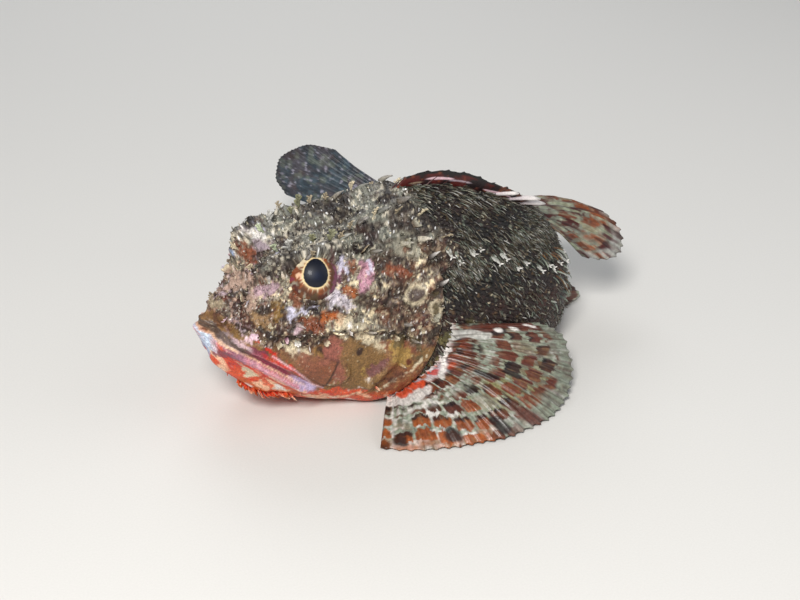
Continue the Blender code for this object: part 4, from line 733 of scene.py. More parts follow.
def paintMouth(colour, left):
    # Streaked lips along the gape, and the smooth brown plate of the upper jaw above its corner
    s, height = left[..., 0], left[..., 2]
    wave = 0.35 * noiseAt(left, 2.2, 301) + 0.2 * noiseAt(left, 0.8, 303)
    offset = lineDistance(left[..., [0, 2]], mouth["line"]) * np.sign(height - gapeHeight(s)) + wave
    streak = np.stack([s * 0.35, offset * 2.2, 0 * s], axis=-1)
    broken = 0.75 + 0.5 * noiseAt(streak, 1, 305)
    for first, last, low, high, paint, strength in lipBands:
        share = smoothStep((s - first) / 2) * smoothStep((last - s) / 2)
        share = share * smoothStep((offset - low) / 0.3 + 0.5) * smoothStep((high - offset) / 0.3 + 0.5)
        colour = over(colour, paint, strength * share * broken)
    edges = [lineDistance(left[..., [0, 2]], jawPlate[side])
             * outside(left, jawPlate[side]) for side in ("top", "rear", "low")]
    inside = -np.maximum(np.maximum(edges[0], edges[1]), edges[2])
    ahead = smoothStep((s - 19) / 5)
    plate = smoothStep(inside / 0.4 + 0.5) * ahead
    colour = laid(colour, [
        ("warmBrown", plate * 0.9),
        ("rosyBrown", plate * smoothStep(0.3 + noiseAt(left, 3, 307)) * smoothStep((height - 14) / 6) * 0.6),
        ("oliveTan", plate * smoothStep(noiseAt(left, 4, 309) * 2) * 0.5),
        ("darkBrown", bell(edges[1], 0.35) * smoothStep((inside + 0.8) / 0.5) * 0.9),
        ("maroonBrown", bell(edges[0], 0.3) * smoothStep((inside + 0.8) / 0.5) * smoothStep((s - 26) / 3) * 0.6),
    ])
    return over(colour, "pinkWhite", bell(edges[2], 0.3) * smoothStep((inside + 0.8) / 0.5) * 0.7)


def outside(points, line):
    # 1 on the left of a line of station and height as it runs, -1 on its right
    line = np.array(line, float)
    best = np.full(points.shape[:-1], 1e9)
    hand = np.ones(points.shape[:-1])
    for a, b in zip(line[:-1], line[1:]):
        step = b - a
        t = np.clip(((points[..., [0, 2]] - a) @ step) / (step @ step), 0, 1)
        off = points[..., [0, 2]] - (a + t[..., None] * step)
        d = np.linalg.norm(off, axis=-1)
        turn = np.sign(step[0] * off[..., 1] - step[1] * off[..., 0])
        hand = np.where(d < best, turn, hand)
        best = np.minimum(best, d)
    return hand


def addNode(tree, kind, settings=None, links=None):
    # One shader node: settings by socket or property name, links as socket name to another node's output
    node = tree.nodes.new("ShaderNode" + kind)
    for name, value in (settings or {}).items():
        if isinstance(name, int) or name in node.inputs:
            node.inputs[name].default_value = value
        else:
            setattr(node, name, value)
    for name, output in (links or {}).items():
        tree.links.new(output, node.inputs[name])
    return node


def newMaterial(name, settings):
    # A material, its nodes, its shader with these settings, and Object coordinates
    material = bpy.data.materials.new(name)
    material.use_nodes = True
    tree = material.node_tree
    shader = tree.nodes["Principled BSDF"]
    for socket, value in settings.items():
        shader.inputs[socket].default_value = value
    return material, tree, shader, addNode(tree, "TexCoord").outputs["Object"]


def paintedMaterial(name, look):
    # Cast resin, airbrushed by hand and sealed with a satin varnish, so that it shines like wet skin.
    # Sizes in the look are in mm.
    settings = {"IOR": 1.45, "Coat Weight": look["coat"], "Coat Roughness": 0.18}
    material, tree, shader, place = newMaterial(name, settings)
    paint = addNode(tree, "Attribute", {"attribute_name": "paint"}).outputs["Color"]
    speck = addNode(tree, "TexNoise", {"Scale": 1 / (look["speck"] * mm), "Detail": 3, "Roughness": 0.7},
                    {"Vector": place})
    tint = addNode(tree, "MapRange",
                   {"From Min": 0.3, "From Max": 0.7, "To Min": 1 - look["tint"], "To Max": 1 + look["tint"]},
                   {"Value": speck.outputs["Fac"]})
    colour = addNode(tree, "VectorMath", {"operation": "SCALE"}, {"Vector": paint, "Scale": tint.outputs["Result"]})
    tree.links.new(colour.outputs["Vector"], shader.inputs["Base Color"])
    shine = addNode(tree, "MapRange",
                    {"From Min": 0.3, "From Max": 0.7, "To Min": look["gloss"][0], "To Max": look["gloss"][1]},
                    {"Value": speck.outputs["Fac"]})
    tree.links.new(shine.outputs["Result"], shader.inputs["Roughness"])
    grain = addNode(tree, "TexNoise", {"Scale": 1 / (look["grain"] * mm), "Detail": 3}, {"Vector": place})
    pores = addNode(tree, "TexVoronoi", {"Scale": 1 / (look["pores"] * mm)}, {"Vector": place})
    height = addNode(tree, "Math", {"operation": "MULTIPLY_ADD", 1: 0.5},
                     {0: grain.outputs["Fac"], 2: pores.outputs["Distance"]})
    bump = addNode(tree, "Bump", {"Strength": look["bump"], "Distance": look["depth"] * mm},
                   {"Height": height.outputs["Value"]})
    tree.links.new(bump.outputs["Normal"], shader.inputs["Normal"])
    return material


skinLook = {"speck": 0.45, "tint": 0.4, "gloss": (0.42, 0.65), "grain": 0.5, "pores": 0.7, "bump": 0.6, "depth": 0.3,
            "coat": 0.12}
finLook = {"speck": 0.5, "tint": 0.15, "gloss": (0.36, 0.55), "grain": 0.4, "pores": 0.9, "bump": 0.35,
           "depth": 0.15, "coat": 0.18}
skinMaterial = paintedMaterial("varnishedCastSkin", skinLook)
finMaterial = paintedMaterial("varnishedCastFin", finLook)


def meshOf(name, bm):
    # The mesh of a finished bmesh, and its vertices' places
    mesh = bpy.data.meshes.new(name)
    bm.to_mesh(mesh)
    bm.free()
    places = np.zeros(len(mesh.vertices) * 3)
    mesh.vertices.foreach_get("co", places)
    return mesh, places.reshape(-1, 3)


def gridMesh(name, across, along):
    # A flat grid whose vertices are then moved, with each one's column and row
    bm = bmesh.new()
    bmesh.ops.create_grid(bm, x_segments=across, y_segments=along, size=1)
    mesh, flat = meshOf(name, bm)
    column = np.rint((flat[:, 0] + 1) / 2 * across).astype(int)
    row = np.rint((flat[:, 1] + 1) / 2 * along).astype(int)
    return mesh, column, row


def dress(mesh, places, colours, uv):
    # Gives a mesh its places in metres, its paint and its map
    mesh.vertices.foreach_set("co", places.ravel())
    layer = mesh.color_attributes.new("paint", "FLOAT_COLOR", "POINT")
    layer.data.foreach_set("color", np.concatenate([np.clip(colours, 0, 1), np.ones((len(colours), 1))],
                                                   axis=1).ravel())
    index = np.zeros(len(mesh.loops), int)
    mesh.loops.foreach_get("vertex_index", index)
    unwrap = mesh.uv_layers.new(name="OFBake")
    unwrap.data.foreach_set("uv", uv[index].ravel())
    mesh.update()


def sealed(mesh, within=1e-6):
    # Merges seams and poles and turns every face outwards
    bm = bmesh.new()
    bm.from_mesh(mesh)
    bmesh.ops.remove_doubles(bm, verts=bm.verts, dist=within)
    bmesh.ops.dissolve_degenerate(bm, dist=1e-8, edges=bm.edges)
    bmesh.ops.recalc_face_normals(bm, faces=bm.faces)
    bm.to_mesh(mesh)
    bm.free()
    mesh.shade_smooth()


def addPiece(name, mesh, material, nodes=()):
    piece = bpy.data.objects.new(name, mesh)
    bpy.context.scene.collection.objects.link(piece)
    mesh.materials.clear()
    mesh.materials.append(material)
    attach(piece, "root")
    if nodes:
        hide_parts(*nodes)
    return piece


print("skin paint")
skinMesh, ringOf, aroundOf = gridMesh("fishSkin", skinGrid["rings"], skinGrid["around"])
skinColours = paintSkin(skinPoints.reshape(-1, 3)).reshape(skinPoints.shape)
skinUv = np.stack([ringOf / skinGrid["rings"], aroundOf / skinGrid["around"]], axis=1)
dress(skinMesh, bend(skinPoints[ringOf, aroundOf]), skinColours[ringOf, aroundOf], skinUv)
sealed(skinMesh)
fishSkin = addPiece("fishSkin", skinMesh, skinMaterial,
                    ["head", "lower_jaw", "trunk", "rear_body", "tail_stalk"])
bpy.context.view_layer.update()
skinTree = BVHTree.FromObject(fishSkin, bpy.context.evaluated_depsgraph_get())

# Marks of an eye, in mm from the pupil's middle, across and up
eyeLook = {
    "around": 144, "rings": 110, "cornea": 0.03, "pupil": (3.55, 4.25), "egg": 0.15, "ring": 0.09,
    "marks": [
        ([(-10, 8, 0), (-7.5, 5, 0), (-5, 2.6, 0), (-2, 5, 0)], 1.1, "cream", 0.95),
        ([(-6, 0.8, 0), (-6.6, -1.5, 0)], 1.5, "rust", 0.9),
        ([(-7.3, -1.4, 0)], 0.9, "plum", 0.9),
        ([(-4.6, -0.8, 0)], 0.8, "palePeach", 0.8),
        ([(-6.3, -5.6, 0)], 1.8, "rust", 0.8),
        ([(-8.5, -2.5, 0), (-8, -5, 0)], 0.8, "cream", 0.8),
        ([(5.2, 3.5, 0), (5.4, -3, 0)], 0.8, "brown", 0.85),
        ([(6.6, 3, 0), (7, -1, 0), (6.4, -4.5, 0)], 1.1, "mauve", 0.9),
        ([(2.5, 6, 0), (4.6, 5.2, 0)], 1.2, "maroonBrown", 0.85),
        ([(0.5, -7.5, 0)], 1.6, "olive", 0.6),
    ],
}


def paintEye(aside, up):
    # aside and up in mm from the pupil's middle
    wide, tall = eyeLook["pupil"]
    f = np.hypot(aside / (wide * (1 - eyeLook["egg"] * up / tall)), up / tall)
    around = np.arctan2(up, aside)
    spokes = np.stack([np.cos(around) * 9, np.sin(around) * 9, f * 0.6], axis=-1)
    ray = fractalAt(spokes, 1.2, 71, 2)
    flat = np.stack([aside, up, 0 * up], axis=-1)
    colour = over(tones["eyeOrange"], "umber", smoothStep(ray * 4 + 0.5))
    colour = over(colour, "cream", smoothStep(noiseAt(spokes, 0.8, 75) * 4 - 0.7) * smoothStep((1.5 - f) * 3) * 0.8)
    blotch = fractalAt(flat, 1.6, 77)
    colour = over(colour, "darkBrown", smoothStep((f - 1.15) * 3) * smoothStep(0.7 - up / 3)
                  * smoothStep(blotch * 3 + 0.9) * 0.8)
    # beyond the iris the paint turns to that of the skin
    outer = smoothStep((f - 1.35) * 3.5)
    colour = laid(colour, [
        ("brown", outer * 0.85),
        ("umber", outer * smoothStep(blotch * 5 + 0.3) * 0.9),
        ("maroon", outer * smoothStep(0.3 - 4 * blotch) * 0.7),
        ("greyBeige", outer * smoothStep((noiseAt(flat, 0.8, 79) - 0.1) * 4) * 0.85),
    ])
    colour = marks(colour, flat, eyeLook["marks"], (0.5, 1.6, 0.3, 0.6), 0.3)
    colour = over(colour, "gold", bell(f - 1.04, eyeLook["ring"]) * 0.9)
    # Painted reflection: a paler navy low in the middle of the pupil
    pupil = over(tones["navy"], "pupilReflectionNavy", smoothStep(0.8 - f) * smoothStep(0.4 - up / tall) * 0.7)
    return colour + (pupil - colour) * smoothStep((1.0 - f) / 0.03 + 0.5)[..., None]


def eyeMaterial():
    # Cast resin eye, painted by hand under a satin varnish: a faint broad highlight over the iris, which is
    # flecked every 0.35 mm
    settings = {"Roughness": 0.5, "IOR": 1.4, "Coat Weight": 0.1, "Coat Roughness": 0.1}
    material, tree, shader, place = newMaterial("clearCastEye", settings)
    paint = addNode(tree, "Attribute", {"attribute_name": "paint"}).outputs["Color"]
    fleck = addNode(tree, "TexNoise", {"Scale": 1 / (0.35 * mm), "Detail": 2}, {"Vector": place})
    tint = addNode(tree, "MapRange", {"To Min": 0.8, "To Max": 1.2}, {"Value": fleck.outputs["Fac"]})
    colour = addNode(tree, "VectorMath", {"operation": "SCALE"}, {"Vector": paint, "Scale": tint.outputs["Result"]})
    tree.links.new(colour.outputs["Vector"], shader.inputs["Base Color"])
    return material


print("eyes")
castEye = eyeMaterial()
for eyeName, sign in (("eye_left", 1), ("eye_right", -1)):
    aim, across, up = eyeFrame(sign)
    bm = bmesh.new()
    bmesh.ops.create_uvsphere(bm, u_segments=eyeLook["around"], v_segments=eyeLook["rings"], radius=1)
    mesh, ball = meshOf(eyeName + "_ball", bm)
    # the pole lies at the pupil's middle, with a slight bulge of the cornea over it
    grown = eyeball["radius"] * (1 + eyeLook["cornea"] * smoothStep((ball[:, 2] - 0.8) / 0.2))
    local = ball * grown[:, None]
    places = np.array(eyeball["centre"]) * (1, sign, 1) + local[:, :1] * across + local[:, 1:2] * up + local[:, 2:] * aim
    colours = paintEye(local[:, 0], local[:, 1])
    colours = over(colours, "brown", smoothStep(0.1 - ball[:, 2]))
    turn = np.arctan2(ball[:, 1], ball[:, 0])
    reach = np.arccos(np.clip(ball[:, 2], -1, 1)) / math.pi * 0.48
    dress(mesh, bend(places), colours, np.stack([0.5 + reach * np.cos(turn), 0.5 + reach * np.sin(turn)], axis=1))
    sealed(mesh)
    addPiece(eyeName + "_ball", mesh, castEye, [eyeName])


def through(rows):
    # A smooth run through places, slower where they lie close
    rows = np.array(rows, float)
    knots = np.concatenate([[0], np.cumsum(np.sqrt(np.linalg.norm(np.diff(rows, axis=0), axis=1)) + 1e-6)])
    knots = knots / knots[-1]
    return lambda u: np.stack([smoothCurve(knots, rows[:, k], u) for k in range(3)], axis=-1)


def even(rows):
    rows = np.array(rows, float)
    knots = np.linspace(0, 1, len(rows))
    return lambda u: np.stack([smoothCurve(knots, rows[:, k], u) for k in range(3)], axis=-1)


def sided(rows, sign=1):
    # Straight-fish places on one side, bent, in mm of the frame
    return bend(np.array(rows, float) * (1, sign, 1)) / mm


def ridgePlace(s, sunk=2.5):
    s = np.asarray(s, float)
    return bend(np.stack([s, 0 * s, profileAt(1, s) - sunk], axis=-1)) / mm


def turnAt(s):
    turn = np.interp(s, lineS, lineTurn)
    back = np.stack([np.cos(turn), np.sin(turn), 0 * turn], axis=-1)
    left = np.stack([np.sin(turn), -np.cos(turn), 0 * turn], axis=-1)
    return back, left


def ridgeAim(s, rise, lean):
    # The way out of the back: rise in degrees up from the way to the tail, lean over to the left
    along = unit(ridgePlace(s + 1, 0) - ridgePlace(s - 1, 0))
    left = turnAt(s)[1]
    up = np.cross(left, along)
    up = unit(up * np.sign(up[..., 2:3]))
    rise, lean = np.radians(rise), np.radians(lean)[..., None]
    return along * np.cos(rise) + (up * np.cos(lean) + left * np.sin(lean)) * np.sin(rise)


def clearOfSkin(mid, v, clear):
    # Moves a fin's middle surface out of the skin, so that it leaves the body at its root
    push = np.zeros(mid.shape)
    for place in np.ndindex(v.shape):
        spot, normal, _, _ = skinTree.find_nearest(Vector(mid[place] * mm))
        want = np.interp(v[place], (0, clear[0]), (-clear[1], clear[2])) * mm
        short = want - (Vector(mid[place] * mm) - spot).dot(normal)
        if 0 < short < 0.012:
            push[place] = np.array(normal) * short / mm
    for _ in range(4):
        push[1:-1] = (push[:-2] + 2 * push[1:-1] + push[2:]) / 4
        push[:, 1:-1] = (push[:, :-2] + 2 * push[:, 1:-1] + push[:, 2:]) / 4
    return mid + push


def finPiece(name, base, tip, bow, look, painter, nodes):
    # A fin on its node's own middle surface: rounded rays that fork towards the tips, and a thin web between them.
    # The grid runs out over the upper face and back under the lower one.
    rays, rows = look["rays"], look["rows"]
    across = (rays - 1) * look["perRay"]
    u = np.linspace(0, 1, across + 1)
    w = np.linspace(0, 1, rows + 1)
    rayPlace = u * (rays - 1)
    nearest = np.rint(rayPlace)
    t = (rayPlace - nearest)[:, None]
    fork = look["fork"] * smoothStep((w - look["forkAt"]) / (1 - look["forkAt"]))[None]
    narrow = 0.2 - 0.1 * smoothStep(w)[None]
    ray = np.maximum(bell(t - fork, narrow), bell(t + fork, narrow))
    marksAt = np.stack([nearest, np.zeros(len(u)), np.zeros(len(u))], axis=-1)
    reach = 1 - look["notch"] * (1 - ray[:, -1]) - look["ragged"] * hashed(marksAt + (0, 0, 5), 83)
    reach -= look["ragged"] * 0.6 * hashed(np.stack([np.rint(rayPlace * 5), 0 * u, 0 * u], axis=-1), 84)
    start, end, belly = base(u), tip(u), bow(u)
    v = w[None] * reach[:, None]
    mid = start[:, None] + v[..., None] * (end - start)[:, None] + (4 * v * (1 - v))[..., None] * belly[:, None]
    if look.get("clear"):
        mid = clearOfSkin(mid, v, look["clear"])
    normal = unit(np.cross(np.gradient(mid, axis=0), np.gradient(mid, axis=1)))
    if (normal[..., 2].mean() < 0) != look.get("flip", False):
        normal = -normal
    length = np.linalg.norm(end - start, axis=-1)[:, None]
    joint = np.abs((v * length / look["joint"]) % 1 - 0.5) * 2
    rib = look["ray"] * (1 - look["taper"] * w[None]) * ray * (0.78 + 0.22 * smoothStep((1 - joint) * 4))
    half = look["web"] * (1 - 0.3 * w[None]) + rib
    striae = 0.03 * np.sin(rayPlace * 2 * math.pi * 5)[:, None] * smoothStep(w[None] * 2 - 0.6)
    half = half + striae
    half[:, 0] = half[:, -1] = half[0] = half[-1] = 0
    half[:, -2] *= 0.75
    ripple = look["ripple"] * fractalAt(mid, 9, 87) * smoothStep(w * 1.5)[None]
    mid = mid + normal * (ripple + look["sag"] * (ray - 0.5) * smoothStep(w * 3)[None])[..., None]
    upper, lower = mid + normal * half[..., None], mid - normal * half[..., None]
    if look.get("floor"):
        upper[..., 2] = np.maximum(upper[..., 2], 0.2 + 2 * half)
        lower[..., 2] = np.clip(lower[..., 2], 0.05, upper[..., 2])
    whole = np.concatenate([upper, lower[:, ::-1][:, 1:]], axis=1)
    shares = np.concatenate([v, v[:, ::-1][:, 1:]], axis=1)
    rayShare = np.concatenate([ray, ray[:, ::-1][:, 1:]], axis=1)
    us = np.broadcast_to(u[:, None], shares.shape)
    colours = painter(us, shares, rayShare, whole)
    mesh, column, row = gridMesh(name, across, 2 * rows)
    dress(mesh, whole[column, row] * mm, colours[column, row], np.stack([column / across, row / (2 * rows)], axis=1))
    sealed(mesh, 2e-7)
    return addPiece(name, mesh, finMaterial, nodes)


def finMarks(colour, u, v, rows, rays):
    # Marks on a fin by share of its width and length, long along the rays
    flat = np.stack([u * rays, v * 9, 0 * u], axis=-1)
    flat = flat + np.stack([0.3 * noiseAt(flat, 1.1, 91), 0.35 * noiseAt(flat, 1.3, 92), 0 * u], axis=-1)
    for line, radius, paint, strength in rows:
        spots = [(a * rays, b * 9, 0) for a, b in line]
        colour = over(colour, paint, strength * smoothStep((radius - lineDistance(flat, spots)) / 0.25 + 0.5))
    return colour


pectoralRoots = [(69, 19.5, 27), (67, 19.5, 20.5), (63.5, 19, 14), (58.5, 18, 8.2), (52.5, 15.5, 4)]
leftTips = [(95, 22.1, 20), (98, 24.1, 17), (99.2, 28.4, 13), (98.4, 32.8, 8), (96, 37.9, 4), (93, 42, 1),
            (89, 45.6, 0.35), (84, 48, 0.35), (76.5, 50, 0.35), (67.8, 49.7, 0.35), (58.5, 48.3, 0.35),
            (48.8, 45.5, 0.35), (39.5, 41, 0.35)]
leftBow = [(0, 2, 0), (0, 3, 2), (0, 1, 4), (0, 0, 4), (0, 0, 2)]
rightTips = [(86, 26, 22), (87, 30, 17), (86, 34, 12), (84, 38, 7), (81, 41, 3), (77, 43.5, 0.6), (71, 45.5, 0.35),
             (63, 46.5, 0.35), (55, 45.5, 0.35), (47, 42, 0.35), (41, 37, 0.35)]
rightBow = [(0, 2, 1), (0, 2, 3), (0, 1, 4), (0, 0, 4), (0, 0, 2)]
pectoralLook = {"rays": 16, "perRay": 14, "rows": 130, "ray": 0.5, "web": 0.16, "fork": 0.24, "forkAt": 0.45,
                "notch": 0.018, "ragged": 0.01, "taper": 0.5, "joint": 1.1, "ripple": 0.35, "sag": 0.3, "floor": True,
                "clear": (0.07, 1.2, 0.7)}
pectoralMarks = [
    ([(0.14, 0.02), (0.14, 0.14), (0.12, 0.29)], 0.8, "greyWhite", 0.9),
    ([(0.07, 0.32), (0.03, 0.55), (0.03, 0.8)], 0.8, "brick", 0.95),
    ([(0.12, 0.4), (0.1, 0.5)], 0.3, "blackMaroon", 0.9),
    ([(0.09, 0.46)], 0.35, "white", 1), ([(0.08, 0.61)], 0.35, "white", 1), ([(0.05, 0.8)], 0.35, "white", 1),
    ([(0.31, 0.05), (0.48, 0.12), (0.62, 0.25)], 0.25, "white", 0.9),
    ([(1, 0.3), (0.9, 0.36), (0.78, 0.33)], 0.7, "white", 0.8), ([(0.89, 0.24)], 0.7, "orangeRed", 0.9),
    ([(0.79, 0.21)], 0.7, "orangeRed", 0.9), ([(0.61, 0.14)], 0.6, "signalRed", 0.8),
    ([(0.7, 0.1)], 0.6, "orange", 0.8),
    ([(0.93, 0.86), (0.93, 0.92)], 0.3, "blackMaroon", 0.9), ([(0.78, 0.84), (0.78, 0.9)], 0.32, "blackMaroon", 0.9),
    ([(0.64, 0.82), (0.63, 0.92)], 0.4, "blackMaroon", 0.9), ([(0.53, 0.86), (0.52, 0.97)], 0.45, "brick", 0.9),
    ([(0.39, 0.52), (0.39, 0.62)], 0.32, "blackMaroon", 0.9), ([(0.46, 0.4), (0.46, 0.5)], 0.35, "blackMaroon", 0.9),
]


def rayBars(u, v, rays, bars, seed, wander=0.35):
    # Bars across each ray: how far a place is through its bar, and two numbers for the bar
    ray = np.rint(u * (rays - 1))
    flat = np.stack([ray, 0 * u, 0 * u], axis=-1)
    wave = np.stack([u * rays * 1.7, v * 30, 0 * u], axis=-1)
    place = v * bars + wander * (2 * hashed(flat, seed) - 1) + 0.35 * noiseAt(np.stack([ray, v * 3, 0 * u], axis=-1),
                                                                              2.5, seed + 7)
    place = place + 0.1 * noiseAt(wave, 1, seed + 5)
    block = np.floor(place)
    pick = [hashed(np.stack([ray, block, 0 * u + k], axis=-1), seed + 1 + k) for k in range(2)]
    return place - block, *pick


def paintPectoral(u, v, ray, places):
    lane = u * 15
    streak = np.stack([lane * 5.5, v * 7, 0 * u], axis=-1)
    line, thread = noiseAt(streak, 1, 119), noiseAt(streak * (2, 1.7, 1), 1, 121)
    at, pick, shade = rayBars(u, v + 0.026 * line + 0.02 * thread, 16, 6.2, 101, 0.5)
    low, outer = smoothStep((u - 0.5) / 0.25), smoothStep((v - 0.3) / 0.35)
    flat = np.stack([u * 60, v * 40, 0 * u], axis=-1)
    speck, rough = noiseAt(flat, 1.2, 113), noiseAt(flat, 2.6, 117)
    off = np.abs(lane - np.rint(lane) + 0.1 * rough)
    # a bar: how far a place lies inside a rounded shape on its ray
    long = 0.43 - 0.04 * outer + 0.14 * (shade - 0.5)
    wide = 0.54 - 0.06 * outer + 0.08 * (pick - 0.5)
    inside = 1 - (np.abs(at - 0.5) / long) ** 6 - (off / wide) ** 4
    bar = smoothStep(inside * 2.4 + 0.4 * rough + 0.4 * thread) * (1 - 0.8 * (shade > 0.93) * outer)
    # the base half of the rays is dark nearly all along, up to a pale band
    near = smoothStep((0.19 + 0.3 * u + 0.03 * line - v) / 0.03) * smoothStep((u - 0.12) / 0.12)
    bar = np.maximum(bar, near * smoothStep((0.5 - off) / 0.12) * 0.95)
    dark = laid(tones["redBrown"], [
        ("brick", smoothStep((pick - 0.25) * 8)),
        ("rust", smoothStep((shade - 0.65) * 8) * 0.7),
        ("orangeRed", near * smoothStep(0.3 + line) * smoothStep((0.16 + 0.2 * u - v) / 0.08) * 0.65),
        ("orange", low * smoothStep((v - 0.55) / 0.2) * smoothStep((shade - 0.3) * 6) * 0.7),
        ("blackMaroon", smoothStep((0.48 - at) * 6 + 0.6 * line) * smoothStep((0.6 - pick) * 8) * 0.9),
        ("umber", smoothStep((line - 0.1) * 4) * (1 - low) * 0.5),
        ("black", smoothStep((0.13 - pick) * 20) * 0.8),
        ("blackMaroon", near * smoothStep((v - 0.13 - 0.3 * u) / 0.04) * smoothStep(0.6 + rough) * 0.8),
        ("tan", smoothStep((thread - 0.3) * 4) * 0.35),
    ])
    pale = laid(tones["greyGreen"] * 0.85, [
        ("greyWhite", smoothStep(1.5 * line) * 0.9),
        ("mossGrey", smoothStep(0.3 - 1.8 * thread) * 0.85),
        ("greyBrown", smoothStep(-0.25 - 1.6 * thread) * 0.7),
    ])
    khaki = bell(u - 0.45, 0.25) * smoothStep((v - 0.4) / 0.15) * smoothStep((0.86 - v) / 0.1)
    pale = laid(pale, [
        ("khaki", khaki * smoothStep(0.6 + line) * 0.85),
        ("redBrown", smoothStep((thread - 0.05) * 4) * (1 - low) * smoothStep((v - 0.3) / 0.2) * 0.6),
        ("white", low * smoothStep(0.3 + speck + line) * 0.7),
    ])
    band = bell(v - 0.26 - 0.3 * u + 0.03 * rough, 0.05) * smoothStep(0.9 + speck)
    margin = smoothStep((v - 0.82 + 0.05 * rough + 0.03 * line) / 0.06) * (1 - smoothStep((u - 0.5) / 0.15))
    bar = bar * (1 - np.clip(1.1 * band * (1 - near), 0, 1)) * (1 - margin)
    colour = pale + (dark - pale) * np.clip(bar, 0, 1)[..., None]
    stripes = 0.5 + 0.5 * np.sin(u * 15 * 2 * math.pi * 4)
    colour = over(colour, "mossGrey", margin * stripes * 0.6)
    colour = over(colour, "redBrown", margin * smoothStep((rough - 0.2) * 3) * 0.35)
    base = smoothStep((0.26 - v) / 0.08) * smoothStep((u - 0.4) / 0.15)
    colour = laid(colour, [
        ("lilacWhite", base * smoothStep(0.5 + rough) * 0.75),
        ("orangeRed", base * smoothStep((0.4 * speck - rough - 0.05) * 4) * 0.85),
        ("white", (bell(v - 0.03, 0.035) * 0.8 + bell(v - 0.2, 0.04) * low * 0.6) * smoothStep(0.7 + rough)),
        ("orange", smoothStep((v - 0.84) / 0.06) * low * smoothStep(0.6 + rough) * 0.7),
    ])
    colour = finMarks(colour, u, v, pectoralMarks, 15)
    return colour * (0.86 + 0.3 * noiseAt(places, 0.6, 111) + 0.16 * (stripes - 0.5))[..., None]


print("fins")
for finName, tips, bow, sign in (("pectoral_fin_left", leftTips, leftBow, 1),
                                 ("pectoral_fin_right", rightTips, rightBow, -1)):
    arch = even([(a, -b * sign, c) for a, b, c in bow])
    finPiece(finName + "_cast", even(sided(pectoralRoots, sign)), through(sided(tips, sign)), arch, pectoralLook,
             paintPectoral, [finName])

spinyFin = {"start": 58, "end": 114, "spines": 12, "web": [(0, 9), (0.15, 12), (0.5, 11), (0.85, 8.5), (1, 7)],
            "webRise": 38,
            "long": [(0, 9), (0.15, 12), (0.5, 11), (0.6, 19), (0.72, 19), (0.82, 9), (1, 7)], "spineRise": 20,
            "lean": [(0, 6), (0.5, 18), (1, 50)]}
spinyLook = {"rays": 12, "perRay": 12, "rows": 44, "ray": 0.3, "web": 0.2, "fork": 0, "forkAt": 0.5, "notch": 0.05,
             "ragged": 0.05, "taper": 0.4, "joint": 30, "ripple": 0.3, "sag": 0.2}


def tabled(rows, u):
    rows = np.array(rows, float)
    return np.interp(u, rows[:, 0], rows[:, 1])


def finStation(fin, u):
    return fin["start"] + (fin["end"] - fin["start"]) * u


def spinyBase(u):
    return ridgePlace(finStation(spinyFin, u))


def spinyTip(u):
    aim = ridgeAim(finStation(spinyFin, u), spinyFin["webRise"], tabled(spinyFin["lean"], u))
    return spinyBase(u) + aim * tabled(spinyFin["web"], u)[..., None]


def noBow(u):
    return np.zeros(u.shape + (3,))


def paintSpiny(u, v, ray, places):
    blotch = fractalAt(places, 4, 121)
    base = laid(tones["darkRed"], [
        ("blackMaroon", smoothStep(blotch * 3 + 0.6)),
        ("black", smoothStep((v - 0.8) / 0.06) * smoothStep((0.62 - u) / 0.1)),
        ("rust", smoothStep(noiseAt(places, 1.4, 123) * 3 - 0.9) * 0.6),
    ])
    base = finMarks(base, u, v,
                    [([(0.17, 0.62), (0.24, 0.64)], 0.4, "pinkWhite", 0.95), ([(0.1, 0.5)], 0.3, "beige", 0.7),
                                 ([(0.3, 0.58), (0.35, 0.6)], 0.35, "lilacGrey", 0.8),
                                 ([(0.52, 0.5), (0.62, 0.6)], 0.4, "pinkWhite", 0.9)], 11)
    return base * (1 + 0.2 * noiseAt(places, 0.8, 125))[..., None]


finPiece("spiny_dorsal_web", spinyBase, spinyTip, noBow, spinyLook, paintSpiny, ["spiny_dorsal_fin"])

softFin = {"start": 116, "end": 143,
           "tips": [(116, 21.5, 25.5), (117.5, 30, 23.5), (119.5, 35.5, 25), (122, 36.5, 29), (125.5, 34.5, 31.5),
                    (131, 29.5, 31), (138, 23.5, 29), (147, 17, 27.5)],
           "bow": [(0, 2, 2), (0, 0, 4), (0, 0, 3), (0, 0, 2)]}
softLook = {"rays": 11, "perRay": 14, "rows": 90, "ray": 0.42, "web": 0.15, "fork": 0.24, "forkAt": 0.4,
            "notch": 0.02,
            "ragged": 0.015, "taper": 0.6, "joint": 1.2, "ripple": 0.7, "sag": 0.3}


